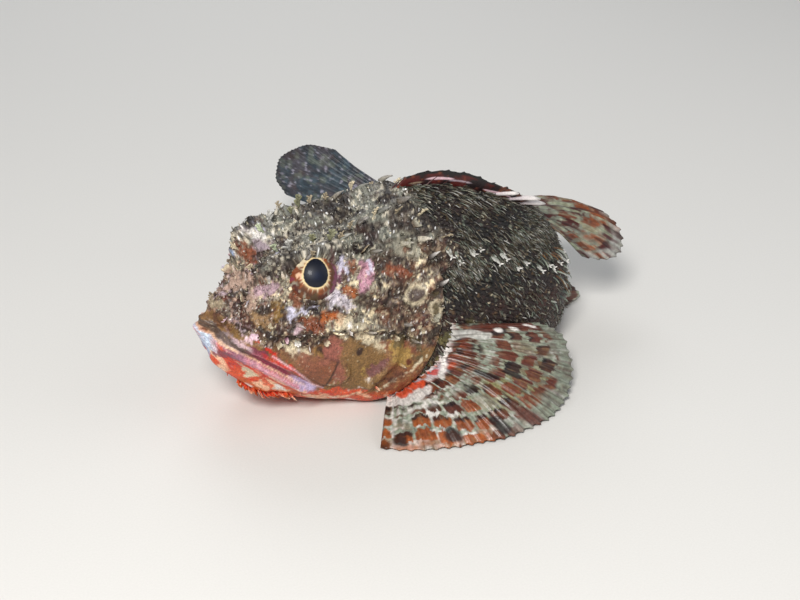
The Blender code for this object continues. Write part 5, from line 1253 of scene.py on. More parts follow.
def paintSoft(u, v, ray, places):
    at, pick, shade = rayBars(u, v, 11, 5, 131, 0.5)
    flat = np.stack([u * 40, v * 40, 0 * u], axis=-1)
    speck, net = noiseAt(flat, 1.3, 137), fractalAt(np.stack([u * 11, v * 7, 0 * u], axis=-1), 1, 133)
    colour = laid(tones["darkRed"], [
        ("rust", smoothStep((pick - 0.4) * 6)),
        ("orange", smoothStep((v - 0.6) / 0.15) * smoothStep((pick - 0.4) * 6) * 0.5),
        ("blackMaroon", smoothStep((0.35 - v) * 4) * smoothStep((0.6 - shade) * 6) * 0.8),
    ])
    pale = np.maximum(smoothStep((at - 0.7) * 8 + speck), bell(net, 0.12))
    line = noiseAt(np.stack([u * 11 * 4, v * 7, 0 * u], axis=-1), 1, 139)
    colour = laid(colour, [
        ("greyGreen", pale * smoothStep(0.7 + line) * 0.75),
        ("darkBrown", smoothStep((-line - 0.3) * 4) * 0.6),
        ("paleGreen", smoothStep((line - 0.2) * 4) * smoothStep((v - 0.3) / 0.2) * 0.6),
        ("mossGrey", smoothStep((0.4 - u) / 0.2) * smoothStep((speck - 0.1) * 3) * 0.6),
        ("greyWhite", smoothStep((v - 0.86 + 0.03 * speck) / 0.04) * smoothStep(0.6 + line) * 0.8),
    ])
    return colour * (0.68 + 0.25 * noiseAt(places, 0.8, 135))[..., None]


def softBase(u):
    return ridgePlace(finStation(softFin, u))


finPiece("soft_dorsal_cast", softBase, through(sided(softFin["tips"])),
         even([(a, 0 * b, c) for a, b, c in softFin["bow"]]),
         softLook, paintSoft, ["soft_dorsal_fin"])

tailFin = {"roots": [(-3, 29), (-3, 22), (-3, 15)],
           "tips": [(22, 41.5), (31, 41.8), (39, 38.8), (45.5, 33), (47, 26), (43, 19.5)],
           "sway": -8, "bow": -1.5, "end": 182}
tailLook = {"rays": 13, "perRay": 12, "rows": 90, "ray": 0.3, "web": 0.2, "fork": 0.24, "forkAt": 0.4, "notch": 0.006,
            "ragged": 0.004, "taper": 0.6, "joint": 1.2, "ripple": 0.4, "sag": 0.2}


def tailPlaces(rows, sway):
    middle = bend(np.array([(tailFin["end"], 0.0, 0.0)]))[0] / mm
    back, left = turnAt(np.array(tailFin["end"], float))
    return [(middle[0] + back[0] * x + left[0] * sway * x / 40, middle[1] + back[1] * x + left[1] * sway * x / 40, z)
            for x, z in rows]


def tailBow(u):
    return np.broadcast_to(turnAt(np.array(tailFin["end"], float))[1] * tailFin["bow"], u.shape + (3,))


def paintTail(u, v, ray, places):
    # Grey-purple mottling over slate and blue-grey: partly the fin's own colour, partly painted shade, darker and bluer
    # as for a fin lying in shadow
    blotch, fine = fractalAt(places, 5, 141), fractalAt(places, 1.8, 143)
    base = laid(tones["slate"], [
        ("blueGrey", smoothStep(fine * 3 + 0.3)),
        ("greyPurple", smoothStep(blotch * 3 + 0.1) * 0.8),
        ("brown", smoothStep(fractalAt(places, 3, 147) * 4 - 0.6) * 0.25),
        ("paleLavender", smoothStep(noiseAt(places, 1.1, 149) * 3 - 1.1) * 0.4),
        ("mossGrey", smoothStep(noiseAt(places, 2.2, 151) * 3 - 0.5) * 0.4),
        ("darkBrown", smoothStep((v - 0.86) / 0.1) * 0.4),
    ])
    return base * (0.88 + 0.25 * noiseAt(places, 0.9, 145))[..., None]


finPiece("tail_fin_cast", even(tailPlaces(tailFin["roots"], 0)),
         through(tailPlaces(tailFin["tips"], tailFin["sway"])), tailBow,
         tailLook, paintTail, ["tail_fin"])

analFin = {"roots": [(124, 2, 4), (133, 1.5, 6), (142, 1, 8)], "rays": 8,
           "tips": [(123, 20, 0.6), (126.5, 27.5, 0.6), (132, 29, 0.8), (139, 25, 1.6), (147, 17, 3.5)]}
pelvicFin = {"roots": [(66, 12, 3.2), (72, 12.5, 3.2)], "rays": 6,
             "tips": [(78, 31, 0.35), (86, 32.5, 0.35), (93, 29, 0.35), (96.5, 23.5, 0.35)]}


def paintFlat(u, v, ray, places):
    rough = noiseAt(places, 1.2, 153)
    at, pick, shade = rayBars(u, v + 0.03 * rough, 7, 4.6, 151, 0.5)
    base = over(tones["greyGreen"], "greyBeige", smoothStep(rough * 3))
    bar = smoothStep((0.36 - np.abs(at - 0.5) + 0.12 * rough) * 6)
    base = over(over(base, "brick", bar * 0.9), "blackMaroon", bar * (shade > 0.5) * 0.6)
    base = over(base, "umber", smoothStep((0.3 - v) / 0.2) * 0.5)
    return base * (1 + 0.2 * noiseAt(places, 0.8, 155))[..., None]


for finName, fin, sign in (("anal_fin", analFin, 1), ("pelvic_fin_left", pelvicFin, 1),
                           ("pelvic_fin_right", pelvicFin, -1)):
    look = dict(pectoralLook, rays=fin["rays"], rows=60, ripple=0.1, sag=0.1)
    base, tips = even(sided(fin["roots"], sign)), through(sided(fin["tips"], sign))
    finPiece(finName + "_cast", base, tips, noBow, look, paintFlat, [finName])

print("scales")
scatterDice = np.random.default_rng(41)
bentSkin = bend(skinPoints) / mm
# The bend turns left into -Y, which mirrors the grid, so its normals are turned round to face out
bentNormals = -gridNormals(bentSkin)
bentStep, straightStep = np.gradient(bentSkin, axis=0), np.gradient(skinPoints, axis=0)
bentAlong = unit(bentStep)
# How much longer the bent skin is than the straight one, from ring to ring
straightStretch = np.linalg.norm(bentStep, axis=-1) / np.maximum(np.linalg.norm(straightStep, axis=-1), 1e-9)


def onSkin(grid, ring, around):
    # A value of the skin's grid between its rings and points
    i = np.clip(ring.astype(int), 0, grid.shape[0] - 2)
    j = np.clip(around.astype(int), 0, grid.shape[1] - 2)
    t, r = (ring - i), (around - j)
    if grid.ndim == 3:
        t, r = t[:, None], r[:, None]
    return ((grid[i, j] * (1 - r) + grid[i, j + 1] * r) * (1 - t)
            + (grid[i + 1, j] * (1 - r) + grid[i + 1, j + 1] * r) * t)


def rootsAt(ring, around):
    # Root, directions to the tail, across and out, straight place and map place of each spot on the skin
    root, out = onSkin(bentSkin, ring, around), unit(onSkin(bentNormals, ring, around))
    back = onSkin(bentAlong, ring, around)
    back = unit(back - out * (back * out).sum(axis=1, keepdims=True))
    return {"root": root, "back": back, "across": np.cross(out, back), "out": out,
            "straight": onSkin(skinPoints, ring, around), "stretch": onSkin(straightStretch, ring, around),
            "uv": np.stack([ring / skinGrid["rings"], around / skinGrid["around"]], axis=1)}


def nearestRoots(places):
    # Spots of the skin nearest to straight-fish places
    flat = skinPoints.reshape(-1, 3)
    index = np.array([np.argmin(((flat - np.array(p, float)) ** 2).sum(axis=1)) for p in places])
    return rootsAt((index // skinPoints.shape[1]).astype(float), (index % skinPoints.shape[1]).astype(float))


def scattered(count, density):
    # Spots spread over the skin's area, as thick as density says
    cell = np.linalg.norm(np.cross(np.diff(bentSkin, axis=0)[:, :-1], np.diff(bentSkin, axis=1)[:-1]), axis=-1)
    chance = (cell * density(leftSide(skinPoints[:-1, :-1]))).ravel()
    pick = scatterDice.choice(chance.size, count, p=chance / chance.sum())
    spot = scatterDice.random((2, count))
    return rootsAt(pick // cell.shape[1] + spot[0], pick % cell.shape[1] + spot[1])


def repeated(template, count):
    # Copies of one mesh in one place, from an Array, to be moved apart
    holder = bpy.data.objects.new("holder", template)
    bpy.context.scene.collection.objects.link(holder)
    array = holder.modifiers.new("copies", "ARRAY")
    array.use_relative_offset = False
    array.count = count
    mesh = bpy.data.meshes.new_from_object(holder.evaluated_get(bpy.context.evaluated_depsgraph_get()))
    bpy.data.objects.remove(holder)
    return mesh


def templateMesh(name, bm):
    # The mesh and shape that the copies of a coat repeat
    bmesh.ops.recalc_face_normals(bm, faces=bm.faces)
    return meshOf(name, bm)


def coatPiece(name, template, shape, roots, places, colours, material, nodes=()):
    # places and colours: one row per copy, one place per vertex of the template
    mesh = repeated(template, len(places))
    mesh.name = name
    patch = 0.0015 * shape[:, :2] / np.abs(shape[:, :2]).max()
    dress(mesh, (places * mm).reshape(-1, 3), colours.reshape(-1, 3), (roots["uv"][:, None] + patch).reshape(-1, 2))
    mesh.shade_smooth()
    return addPiece(name, mesh, material, nodes)


# Scales: small overlapping lenses in slanting rows, length and width in mm, front edge sunk, rear edge proud
scaleLook = {"row": 1.5, "gap": 1.45, "length": 2.3, "width": 1.75, "thick": 0.16, "tilt": 0.2, "lift": 0.1,
             "loose": 0.12}


def scaleRoots(side):
    # Rows round the body on one side, each half a step off the one before
    fine = np.arange(bodyLine["bendStart"] - 15, 179, 0.1)
    edge = bend(np.stack([fine, side * profileAt(4, fine), 0 * fine], axis=-1)) / mm
    length = np.concatenate([[0], np.cumsum(np.linalg.norm(np.diff(edge, axis=0), axis=1))])
    rings, arounds = [], []
    for k, place in enumerate(np.arange(0, length[-1], scaleLook["row"])):
        s = np.interp(place, length, fine)
        angle = np.linspace(-0.36 * math.pi, 0.5 * math.pi, 400)
        angle = angle if side > 0 else math.pi - angle
        line = sectionPoints(np.full(angle.shape, s), angle)
        arc = np.concatenate([[0], np.cumsum(np.linalg.norm(np.diff(line, axis=0), axis=1))])
        spots = np.interp(np.arange((k % 2) * 0.5, arc[-1] / scaleLook["gap"]) * scaleLook["gap"], arc, angle)
        ring = np.interp(s, stations, np.arange(len(stations)))
        rings.append(np.full(len(spots), ring))
        arounds.append(np.interp(spots, angles[int(ring)], np.arange(angles.shape[1])))
    ring, around = np.concatenate(rings), np.concatenate(arounds)
    ring = np.clip(ring + scatterDice.normal(0, 0.25, len(ring)), 1, skinGrid["rings"] - 2)
    around = np.clip(around + scatterDice.normal(0, 0.25, len(ring)), 0, skinGrid["around"] - 1.01)
    roots = rootsAt(ring, around)
    keep = (bodyShare(leftSide(roots["straight"])) > 0.5) & (gillGap(leftSide(roots["straight"])) < -2.5)
    return {key: value[keep] for key, value in roots.items()}


bm = bmesh.new()
bmesh.ops.create_uvsphere(bm, u_segments=8, v_segments=4, radius=1)
scaleTemplate, scaleShape = templateMesh("scale", bm)
for side, sideName in ((1, "left"), (-1, "right")):
    roots = scaleRoots(side)
    count = len(roots["root"])
    size = 1 + scatterDice.normal(0, 0.08, (count, 1)) - 0.25 * smoothStep((roots["straight"][:, :1] - 130) / 40)
    twist = scatterDice.normal(-0.3, scaleLook["loose"], (count, 1))
    x, y, z = (scaleShape[None, :, k] for k in range(3))
    local = np.stack([x * scaleLook["length"] / 2 * size * (1 - 0.12 * y * y),
                      y * scaleLook["width"] / 2 * size * (1 - 0.18 * x),
                      z * scaleLook["thick"] * size], axis=-1)
    rise = (scaleLook["lift"] + scaleLook["tilt"] * x + 0.12 * smoothStep(x) * scatterDice.random((count, 1)) - 0.1
            * y * y) * size
    along, aside = local[..., 0] * np.cos(twist) - local[..., 1] * np.sin(twist), local[..., 0] * np.sin(twist) + local[..., 1] * np.cos(twist)
    aside = aside * side
    frameOf = {key: roots[key][:, None] for key in ("root", "back", "across", "out")}
    places = (frameOf["root"] + frameOf["back"] * along[..., None] + frameOf["across"] * aside[..., None]
              + frameOf["out"] * (local[..., 2] + rise)[..., None])
    straight = roots["straight"][:, None] + np.stack([along / roots["stretch"][:, None], 0 * along,
                                                      aside * side * 0.9], axis=-1)
    # Painted shade: each scale darkens towards its sunk front edge, where it tucks under the scale ahead, and its tone
    # also varies at random
    colours = paintSkin(straight) * (0.55 + 0.5 * smoothStep(0.5 + 0.6 * x) + 0.25
                                     * (scatterDice.random((count, 1)) - 0.5))[..., None]
    coatPiece("scales_" + sideName, scaleTemplate, scaleShape, roots, places, colours, skinMaterial)

print("papillae, flaps and spines")
# One tapering stem: a capped tube cut into rings, bent and shaped for every spine, flap and branch
stemRings = [0.12, 0.28, 0.46, 0.64, 0.82]


def stemTemplate(sides, cuts):
    bm = bmesh.new()
    bmesh.ops.create_cone(bm, cap_ends=True, segments=sides, radius1=1, radius2=1, depth=1,
                          matrix=Matrix.Translation((0, 0, 0.5)))
    for cut in cuts:
        bmesh.ops.bisect_plane(bm, geom=bm.verts[:] + bm.edges[:] + bm.faces[:], plane_co=(0, 0, cut),
                               plane_no=(0, 0, 1))
    return templateMesh("stem", bm)


stemKinds = {"spine": [(0, 1), (0.3, 0.86), (0.7, 0.5), (0.95, 0.14), (1, 0.05)],
             "leaf": [(0, 0.6), (0.3, 1), (0.6, 0.95), (0.85, 0.6), (1, 0.14)],
             "branch": [(0, 1), (0.4, 0.7), (0.8, 0.55), (1, 0.25)],
             "strap": [(0, 0.8), (0.4, 0.9), (0.8, 1.1), (0.95, 0.8), (1, 0.35)]}


def stems(name, template, shape, rows, roots, material, nodes=()):
    # rows: start, tip and middle bow in mm of the frame, across direction, half width, half thickness, kind, two colours
    count = len(rows["start"])
    t = shape[:, 2]
    start, bow = rows["start"][:, None], rows["bow"][:, None]
    line = start + (rows["tip"][:, None] - start) * t[None, :, None] + bow * (4 * t * (1 - t))[None, :, None]
    aim = unit((rows["tip"][:, None] - start) + bow * (4 - 8 * t)[None, :, None])
    wide = unit(rows["across"][:, None] - aim * (rows["across"][:, None] * aim).sum(axis=-1, keepdims=True))
    deep = np.cross(aim, wide)
    grown = np.array([np.interp(t, *np.array(stemKinds[kind], float).T) for kind in rows["kind"]])
    ripple = 1 + rows.get("ripple", np.zeros(count))[:, None] * np.sin(t * 17 + np.arange(count)[:, None])
    places = line + wide * (shape[:, 0] * rows["half"][:, None] * grown * ripple)[..., None]
    places = places + deep * (shape[:, 1] * rows["thick"][:, None] * np.maximum(grown, 0.3 + 0 * grown))[..., None]
    fade = smoothStep((t - 0.1) / 0.9)[None, :, None]
    colours = rows["low"][:, None] * (1 - fade) + rows["high"][:, None] * fade
    colours = colours * (1 + 0.25 * noiseAt(places, 0.6, 171))[..., None]
    return coatPiece(name, template, shape, roots, places, colours, material, nodes)


def gathered(parts):
    # The rows of several sets of stems, one set after another
    return {key: np.concatenate([np.asarray(part[key]) for part in parts]) for key in parts[0]}


stemMesh, stemShape = stemTemplate(7, stemRings)
budMesh, budShape = stemTemplate(5, (0.35, 0.7))


def papillae(name, count, density, length, sides=(0.2, 0.45)):
    # Small leaf-like growths that stand up from the crust and lean to the tail
    roots = scattered(count, density)
    lean = scatterDice.normal(0, 0.75, (count, 2))
    long = length[0] + (length[1] - length[0]) * scatterDice.random((count, 1)) ** 2
    aim = roots["out"] * 0.75 + roots["back"] * (0.2 + lean[:, :1]) + roots["across"] * lean[:, 1:] + np.array((0, 0, 0.15))
    aim = unit(aim)
    skin = paintSkin(roots["straight"])
    pale = scatterDice.random((count, 1))
    high = skin * (0.95 + 0.5 * pale) + (tones["greyBeige"] - skin) * (pale > 0.6) * 0.5 + (tones["white"]
                                                                                            - skin) * (pale > 0.9) * 0.6
    turn = scatterDice.random((count, 1)) * 6.28
    # Painted shade: each growth darkens to 0.6 of the skin's colour at its root
    rows = {"start": roots["root"] - roots["out"] * 0.35, "tip": roots["root"] + aim * long,
            "bow": roots["out"] * long * 0.12, "across": roots["back"] * np.cos(turn) + roots["across"]
            * np.sin(turn),
            "half": long[:, 0] * (sides[0] + (sides[1] - sides[0]) * scatterDice.random(count)), "thick": 0.07 + 0.04
            * long[:, 0],
            "kind": scatterDice.choice(["leaf", "spine", "strap"], count, p=(0.5, 0.25, 0.25)), "low": skin * 0.6,
            "high": high}
    stems(name, budMesh, budShape, rows, roots, skinMaterial)


def onCrust(places):
    head = np.maximum(crustShare(places) * (1 - bodyShare(places)), 0.03)
    wide = np.linalg.norm(places - np.array(eyeball["centre"]), axis=-1)
    lip = 1 - bell(lineDistance(places[..., [0, 2]], mouth["line"]), 2.0) * (places[..., 0] < 28)
    return head * (wide > 7.9) * lip * (0.25 + smoothStep(0.5 + 1.6 * fractalAt(places, 6,
                                                                                161))) * (places[..., 2] > 6)


def onBack(places):
    high = smoothStep((places[..., 2] - 20) / 30)
    return bodyShare(places) * (0.15 + high) * (0.2 + smoothStep(0.4 + 1.8 * fractalAt(places, 8,
                                                                                       163))) * (places[..., 2] > 8)


papillae("head_papillae", 4200, onCrust, (0.35, 1.3))


def flecks(name, count, density):
    # Thin pale slivers that lie back on the scales, pointing to the tail and down
    roots = scattered(count, density)
    down = roots["out"] * roots["out"][:, 2:] - np.array((0, 0, 1.0))
    down = unit(down)
    steep = 0.95 + scatterDice.normal(0, 0.28, (count, 1))
    aim = roots["back"] * np.cos(steep) + down * np.sin(steep) + roots["out"] * (0.1 + 0.12
                                                                                 * scatterDice.random((count, 1)))
    long = 1.1 + 2.0 * scatterDice.random((count, 1)) ** 2
    tone = np.array([tones[name] for name in ("greyBeige", "greyWhite", "mossGrey", "olive", "greyBrown")])
    high = tone[scatterDice.choice(5, count, p=(0.22, 0.12, 0.18, 0.2, 0.28))] * (0.25 + 0.95
                                                                                  * scatterDice.random((count, 1)) ** 1.5)
    # Painted shade: each sliver darkens to 0.55 of its colour at its root
    rows = {"start": roots["root"] + roots["out"] * 0.25, "tip": roots["root"] + roots["out"] * 0.35 + aim * long,
            "bow": roots["out"] * 0.12 * long, "across": np.cross(aim, roots["out"]),
            "half": 0.1 + 0.14 * scatterDice.random(count), "thick": np.full(count, 0.08),
            "kind": scatterDice.choice(["leaf", "spine"], count, p=(0.6, 0.4)), "low": high * 0.55, "high": high}
    stems(name, budMesh, budShape, rows, roots, skinMaterial)


def onFlank(sign):
    return lambda places: (0.3 + 2.2 * smoothStep((places[..., 2]
                                                   - 30) / 20)) * bodyShare(places) * (places[..., 2] > 8) * (
        0.12 + smoothStep(0.45 + 2.4 * fractalAt(places, 6, 163))) * onSide(sign)


def onSide(sign):
    middle = skinPoints.shape[1] // 2
    share = np.zeros((skinPoints.shape[0] - 1, skinPoints.shape[1] - 1))
    if sign > 0:
        share[:, :middle] = 1
    else:
        share[:, middle:] = 1
    return share


flecks("flank_flecks_left", 3400, onFlank(1))
flecks("flank_flecks_right", 2400, onFlank(-1))
papillae("body_papillae", 700, onBack, (0.6, 1.9), (0.12, 0.3))

# Spines, flaps and branched tentacles by place, aim (back, side, up), length and half width in mm
spineRows = [
    ((9.5, 4.5, 45), (-0.3, 0.2, 1.0), 3.2, 0.9), ((20.5, 11.5, 50), (-0.3, 0.5, 1.0), 3.2, 0.9),
    ((28, 13.3, 54), (0.5, 0.4, 1.0), 3.0, 0.9), ((39.5, 13.2, 55.7), (1.3, 0.25, 0.7), 3.8, 1.0),
    ((46, 10.5, 59.5), (1.4, 0.1, 0.7), 3.6, 1.0), ((53, 9.2, 62.3), (1.5, 0.1, 0.5), 4.0, 1.1),
    ((60, 8.5, 64), (1.5, 0.1, 0.4), 4.2, 1.2), ((48, 17, 52.5), (1.4, 0.6, 0.3), 3.2, 0.9),
    ((57, 17.2, 54), (1.4, 0.6, 0.2), 3.4, 1.0), ((64, 16.6, 54), (1.4, 0.6, 0.1), 3.8, 1.1),
    ((24, 18, 32), (0.8, 1.0, -0.2), 2.6, 0.8), ((35, 19.7, 31), (1.0, 1.0, -0.1), 2.8, 0.9),
    ((44, 21.2, 30), (1.2, 0.9, 0.0), 3.0, 0.9), ((54, 22.8, 29.5), (1.4, 0.8, 0.1), 3.6, 1.0),
    ((65, 21, 51), (0.9, 0.5, 0.8), 4.2, 0.9), ((67.3, 22.5, 41.5), (0.9, 0.6, 0.9), 3.8, 0.9),
    ((58, 23.2, 24), (1.2, 0.8, -0.4), 2.6, 0.9), ((54, 22.8, 16), (1.0, 0.8, -0.8), 2.2, 0.8),
]
flapRows = [
    # place, aim, length, half width, lower and upper colour
    ((7, 7.5, 42), (-0.8, 0.5, 0.9), 2.2, 0.8, "beigePink", "cream"),
    ((11, 14.5, 32), (-0.2, 0.8, -1.0), 2.2, 0.8, "lilacPink", "pinkWhite"),
    ((17, 17, 29.5), (0.1, 0.8, -1.0), 2.4, 0.8, "redBrown", "cream"),
    ((46, 20.5, 9), (0.5, 0.8, -0.4), 1.8, 0.8, "orangeRed", "palePeach"),
    ((62, 13, 58.5), (0.9, 0.6, 0.8), 2.2, 0.8, "greyBrown", "greyBeige"),
    ((44, 15.5, 54), (0.4, 0.7, 0.9), 2.4, 0.8, "brown", "beige"),
    ((26, 18.8, 26.5), (-0.2, 1.0, -0.4), 2.2, 0.9, "beigePink", "white"),
    ((22.5, 18.5, 28.5), (-0.2, 1.0, -0.6), 2.0, 0.8, "greyBeige", "white"),
    ((31, 19.6, 27.5), (0.3, 1.0, -0.5), 2.0, 0.8, "redBrown", "cream"),
    ((19.5, 17.5, 30), (0.0, 1.0, -0.7), 2.0, 0.8, "mauve", "pinkWhite"),
    ((52, 22.5, 27), (0.8, 0.8, -0.5), 1.8, 0.8, "brown", "cream"),
    ((64, 22.5, 30), (1.0, 0.7, -0.3), 2.0, 0.8, "olive", "greyBeige"),
    ((38, 20.5, 31), (0.5, 1.0, -0.4), 1.9, 0.7, "brown", "white"),
    ((58, 17, 53.5), (0.8, 0.9, 0.3), 2.0, 0.7, "olive", "greyBeige"),
]
tentacleRows = [
    # place, aim, length, colour: a stem with side branches
    ((34.5, 13.4, 55.5), (0.15, 0.2, 1.0), 4.4, "greenBeige"), ((24, 9, 53.8), (-0.1, 0.2, 1.0), 4.2, "greyWhite"),
    ((21, 6.5, 53), (-0.5, 0.2, 1.0), 3.4, "paleGreen"), ((14.5, 9, 48), (-0.8, 0.3, 0.8), 2.8, "cream"),
    ((29, 14.6, 55), (-0.1, 0.5, 0.9), 2.6, "beige"), ((38, 13.5, 56.5), (0.3, 0.3, 0.9), 3.0, "beige"),
    ((31, 10, 56), (-0.1, 0.1, 1), 2.8, "greenBeige"), ((50, 9.5, 61.5), (0.3, 0.2, 1), 2.8, "cream"),
    ((42, 11, 58.5), (0.2, 0.2, 1), 2.6, "beige"), ((57, 12, 61), (0.5, 0.4, 0.8), 2.8, "beige"),
    ((66, 12, 61), (0.6, 0.4, 0.8), 3.0, "cream"), ((70, 17, 54), (0.8, 0.6, 0.5), 3.0, "beige"),
    ((10, 12, 41), (-0.5, 0.9, 0.1), 2.4, "lilacWhite"), ((3, 9.5, 34.5), (-0.7, 0.7, -0.2), 2.2, "pinkWhite"),
    ((15.5, 15.2, 34), (-0.2, 1, -0.3), 2.4, "cream"), ((43, 21, 33), (0.5, 1, -0.1), 2.4, "cream"),
]


def draped(aim, out, lift):
    # An aim laid along the skin, then lifted off it
    return unit(aim - out * (aim * out).sum(axis=1, keepdims=True)) + out * lift


def straightAim(roots, aims, signs):
    # Aims given along the straight fish, turned with the bend
    back, left = turnAt(roots["straight"][:, 0])
    aims = np.array(aims, float)
    return unit(back * aims[:, :1] + left * aims[:, 1:2] * signs[:, None] + np.array((0, 0, 1.0)) * aims[:, 2:])


def bothSides(rows):
    # Each row on the left and on the right, with its root and its aim
    pairs = [(row, sign) for row in rows for sign in (1, -1)]
    roots = nearestRoots([np.array(row[0]) * (1, sign, 1) for row, sign in pairs])
    aim = straightAim(roots, [row[1] for row, _ in pairs], np.array([sign for _, sign in pairs], float))
    return [row for row, _ in pairs], roots, aim


def spineTips(rows):
    # The gill cover's two long spines end white, the others barely paler than the skin
    return np.array([0.85 if row[0][0] > 64.5 and row[0][2] < 52 else 0.3 for row in rows])[:, None]


rows, roots, aim = bothSides(spineRows)
long = np.array([row[2] for row in rows])[:, None]
skin = paintSkin(roots["straight"])
stems("head_spines", stemMesh, stemShape, {
    "start": roots["root"] - aim * 1.4, "tip": roots["root"] + aim * long * 0.72, "bow": roots["out"] * 0.4,
    "across": roots["across"],
    "half": np.array([row[3] for row in rows]) * 0.95, "thick": np.array([row[3] for row in rows]) * 0.75,
    "kind": ["spine"] * len(rows), "low": skin, "high": skin + (tones["white"] - skin) * spineTips(rows)}, roots,
      skinMaterial)

rows, roots, aim = bothSides(flapRows)
fringes = []
for k in range(5):
    swing = (k - 2) * 0.42
    long = np.array([row[2] for row in rows])[:, None] * (0.72 + 0.3 * scatterDice.random((len(rows), 1)))
    wide = np.array([row[3] for row in rows])
    turned = aim + np.cross(aim, roots["out"]) * swing
    fringes.append({"start": roots["root"] - aim * 0.7 + np.cross(aim, roots["out"]) * (k - 2) * wide[:, None] * 0.3,
                    "tip": roots["root"] + turned * long, "bow": roots["out"] * 0.25,
                    "across": np.cross(aim, roots["out"]),
                    "half": wide * 0.7, "thick": np.full(len(rows), 0.16),
                    "kind": ["strap" if k % 2 else "leaf"] * len(rows),
                    "low": np.array([tones[row[4]] for row in rows]),
                    "high": np.array([tones[row[5]] for row in rows]),
                    "ripple": np.full(len(rows), 0.25)})
stems("head_flaps", stemMesh, stemShape, gathered(fringes), {"uv": np.tile(roots["uv"], (5, 1))}, skinMaterial)


def tentacles(name, rows, nodes=(), branches=6):
    rows, roots, aim = bothSides(rows)
    long = np.array([row[2] for row in rows])[:, None]
    tone = np.array([tones[row[3]] for row in rows])
    # Painted shade: the stem darkens to 0.55 of its colour at the root
    twigs = [{"start": roots["root"] - aim * 0.6, "tip": roots["root"] + aim * long, "bow": roots["back"] * 0.3,
              "across": roots["back"], "half": 0.13 * long[:, 0], "thick": 0.08 * long[:, 0],
              "kind": ["branch"] * len(rows),
              "low": tone * 0.55, "high": tone}]
    for k in range(branches):
        at = 0.15 + 0.72 * k / branches
        spread = scatterDice.normal(0, 0.35, (len(rows), 3)) + roots["back"] * (0.9 if k % 2 else -0.9)
        start = roots["root"] + aim * long * at
        # Painted shade at each branch's base and painted light at its tip: 0.7 and 1.1 of its colour
        twigs.append({"start": start, "tip": start + (aim * 0.7 + spread * 0.8) * long * (0.5 - 0.25 * at),
                      "bow": aim * 0.2,
                      "across": aim, "half": 0.11 * long[:, 0], "thick": 0.06 * long[:, 0],
                      "kind": ["leaf"] * len(rows),
                      "low": tone * 0.7, "high": tone * 1.1})
    stems(name, stemMesh, stemShape, gathered(twigs), {"uv": np.tile(roots["uv"], (branches + 1, 1))}, skinMaterial,
          nodes)


tentacles("brow_tentacles", tentacleRows[:1], ["brow_tentacle_left", "brow_tentacle_right"], 7)
tentacles("crown_tentacles", tentacleRows[1:])

# Lateral line: pale hooked flaps in a wavering row along each flank
lineLook = {"stations": [71.5, 82, 91.5, 99, 120, 150, 176], "sides": [17, 14, 15.5, 15.5, 13, 7.5, 4.6],
            "heights": [48.5, 47.5, 40.5, 36, 28, 20, 17], "step": 3.3, "wander": 0.9, "waver": 0.8,
            "aim": (0.35, 0.35, -1.0), "lift": 0.25, "length": 3.8, "half": 0.72}
lineStations = np.arange(lineLook["stations"][0], lineLook["stations"][-1], lineLook["step"])
lineStations = lineStations + scatterDice.uniform(-lineLook["wander"], lineLook["wander"], len(lineStations))
lineSides, lineHeights = (np.interp(lineStations, lineLook["stations"],
                                    lineLook[key]) for key in ("sides", "heights"))
lineHeights = lineHeights + scatterDice.normal(0, lineLook["waver"], len(lineStations))
rows, roots, aim = bothSides([(place, lineLook["aim"]) for place in zip(lineStations, lineSides, lineHeights)])
aim = draped(aim, roots["out"], lineLook["lift"])
hooks = []
for size, drop in ((1, 0), (0.8, 0.3), (0.65, -0.3)):
    across = np.cross(aim, roots["out"])
    long = lineLook["length"] * size * (0.45 + 0.8 * scatterDice.random((len(rows), 1)))
    # The flaps run from moss grey darkened to 0.6 at the root, painted shade, to grey-white at the tip
    hooks.append({"start": roots["root"], "tip": roots["root"] + (aim + across * drop + roots["out"] * 0.15) * long,
                  "bow": -roots["out"] * 0.3, "across": across, "half": np.full(len(rows), lineLook["half"] * size),
                  "thick": np.full(len(rows), 0.18), "kind": ["leaf"] * len(rows),
                  "low": np.tile(tones["mossGrey"] * 0.6, (len(rows), 1)),
                  "high": np.tile(tones["greyWhite"], (len(rows), 1))})
for turn in (0.9, -0.7):
    # short white hooks at the tip of the longest lobe
    hook = dict(hooks[0])
    hook["start"] = hooks[0]["tip"] - aim * 0.25
    hook["tip"] = hook["start"] + (aim * 0.3 + across * turn + roots["out"] * 0.5) * 1.1
    hooks.append(dict(hook, half=np.full(len(rows), 0.3), thick=np.full(len(rows), 0.2), low=hook["high"],
                      high=np.tile(tones["white"], (len(rows), 1))))
stems("lateral_line_flaps", stemMesh, stemShape, gathered(hooks), {"uv": np.tile(roots["uv"], (5, 1))}, skinMaterial)

# A ruffle of soft lobes under the jaw, and long pale strands that hang on the flank below the soft dorsal fin
ruffle = {"line": [(8, 6.5, 14), (11, 8.5, 11.5), (14, 9.5, 9.3), (17.5, 11.2, 7), (21, 13, 5.6)], "count": 44,
          "length": 2.1, "half": 1.25,
          "lift": 0.6}
strands = {"line": [(99, 16, 40), (103, 14, 38), (108, 13.5, 34), (113, 12.5, 31), (118, 12, 27), (104, 16, 29),
                    (110, 14.5, 24), (101, 18, 22)],
           "count": 46, "length": 5.0, "half": 0.32, "lift": 0.3}


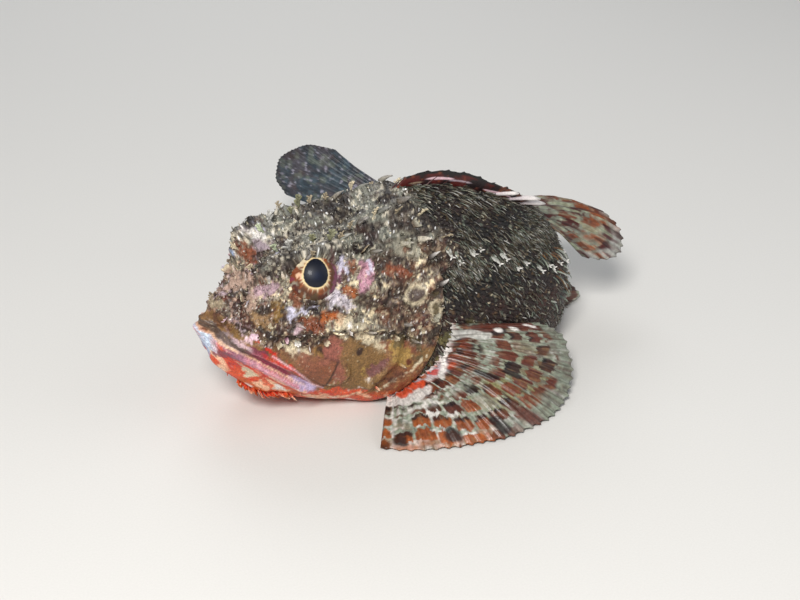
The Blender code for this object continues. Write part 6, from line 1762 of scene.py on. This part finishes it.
def hanging(name, look, aimed, tonesLow, tonesHigh):
    spread = through(look["line"])(np.linspace(0, 1, look["count"])) + scatterDice.normal(0, look["length"] * 0.12,
                                                                                          (look["count"], 3))
    rows, roots, aim = bothSides([(tuple(place), aimed) for place in spread])
    count = len(rows)
    aim = draped(aim + scatterDice.normal(0, 0.25, (count, 3)), roots["out"], look["lift"])
    across = np.cross(aim, roots["out"])
    long = look["length"] * (0.6 + 0.7 * scatterDice.random((count, 1)))
    pick = scatterDice.integers(0, len(tonesHigh), count)
    stems(name, stemMesh, stemShape, {
        "start": roots["root"] - roots["out"] * 0.5, "tip": roots["root"] + aim * long,
        "bow": roots["out"] * 0.15 * long,
        "across": across, "half": look["half"] * (0.7 + 0.6 * scatterDice.random(count)),
        "thick": np.full(count, 0.14),
        "kind": ["leaf"] * count, "low": np.array([tones[tonesLow[k]] for k in pick]),
        "high": np.array([tones[tonesHigh[k]] for k in pick]), "ripple": np.full(count, 0.25)}, roots, skinMaterial)


hanging("jaw_ruffle", ruffle, (0.3, 0.6, -0.8), ("orangeRed", "signalRed", "orangeRed"),
        ("palePeach", "orangeRed", "orange"))
hanging("flank_strands", strands, (0.45, 0.35, -0.85), ("teal", "brown", "mossGrey", "flankBlack"),
        ("greyGreen", "oliveTan", "greyWhite", "mossGrey"))

# Dorsal spines: twelve, lying back over the web, dark, with pale blades in the middle of the row
spineU = np.linspace(0, 1, spinyFin["spines"])
spineBase = spinyBase(spineU)
spineAim, lift, webAim = (ridgeAim(finStation(spinyFin, spineU), rise, tabled(spinyFin["lean"], spineU))
                          for rise in (spinyFin["spineRise"], 90, spinyFin["webRise"]))
flatSpine = smoothStep((spineU - 0.45) / 0.1)[:, None]
spineTip = spineBase + (spineAim * flatSpine + webAim * (1 - flatSpine)) * tabled(spinyFin["long"],
                                                                                  spineU)[:, None] * 0.96
spineLow, spineHigh = np.tile(tones["darkRed"], (len(spineU), 1)), np.tile(tones["blackMaroon"], (len(spineU), 1))
blades = (spineU > 0.52) & (spineU < 0.73)
spineHigh[blades], spineLow[blades] = tones["white"], tones["lilacGrey"]
spineHalf = np.where(blades, 0.95, 0.4)
stems("dorsal_spines", stemMesh, stemShape, {
    "start": spineBase, "tip": spineTip, "bow": lift * 0.9, "across": np.cross(spineAim, lift), "half": spineHalf,
    "thick": spineHalf * 0.7, "kind": ["strap" if blade else "spine" for blade in blades], "low": spineLow,
    "high": spineHigh},
    {"uv": np.stack([spineU * 0.9 + 0.05, 0 * spineU + 0.5], axis=1)}, finMaterial)

print("floor and light")


def areaLight(name, place, target, size, power, tone):
    data = bpy.data.lights.new(name, "AREA")
    data.energy = power
    data.size = size
    data.color = tone
    lamp = bpy.data.objects.new(name, data)
    scene.collection.objects.link(lamp)
    lamp.location = place
    lamp.rotation_euler = (Vector(target) - Vector(place)).to_track_quat("-Z", "Y").to_euler()


def floorMaterial():
    # Plain matt paper sweep, with a faint fibre grain of 0.6 mm
    material, tree, shader, place = newMaterial("mattPaperSweep", {"Roughness": 0.85})
    grain = addNode(tree, "TexNoise", {"Scale": 1 / (0.6 * mm), "Detail": 2}, {"Vector": place})
    ramp = addNode(tree, "Mix", {"data_type": "RGBA"}, {"Factor": grain.outputs["Fac"]})
    ramp.inputs[6].default_value = (*linear("#d9d7d3"), 1)
    ramp.inputs[7].default_value = (*linear("#e2e0dc"), 1)
    tree.links.new(ramp.outputs[2], shader.inputs["Base Color"])
    return material


areaLight("keyLight", (-0.3, -0.5, 0.55), (-0.02, -0.03, 0.03), 0.22, 5.8, (1, 0.98, 0.95))
areaLight("fillLight", (0.6, -0.3, 0.4), (0, 0, 0.03), 0.6, 1.2, (0.93, 0.96, 1))
areaLight("backLight", (0.1, 0.6, 0.6), (0, 0, 0.03), 0.5, 2.2, (0.95, 0.97, 1))
world = bpy.data.worlds.new("studioWorld")
scene.world = world
world.use_nodes = True
world.node_tree.nodes["Background"].inputs["Color"].default_value = (*linear("#e8ecf0"), 1)
world.node_tree.nodes["Background"].inputs["Strength"].default_value = 0.25
scene.view_settings.view_transform = "Standard"

bm = bmesh.new()
bmesh.ops.create_grid(bm, x_segments=8, y_segments=8, size=3)
floorMesh = meshOf("floor", bm)[0]
floor = bpy.data.objects.new("floor", floorMesh)
scene.collection.objects.link(floor)
floorMesh.materials.append(floorMaterial())

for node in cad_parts.values():
    node.data.materials.clear()
    node.data.materials.append(skinMaterial)
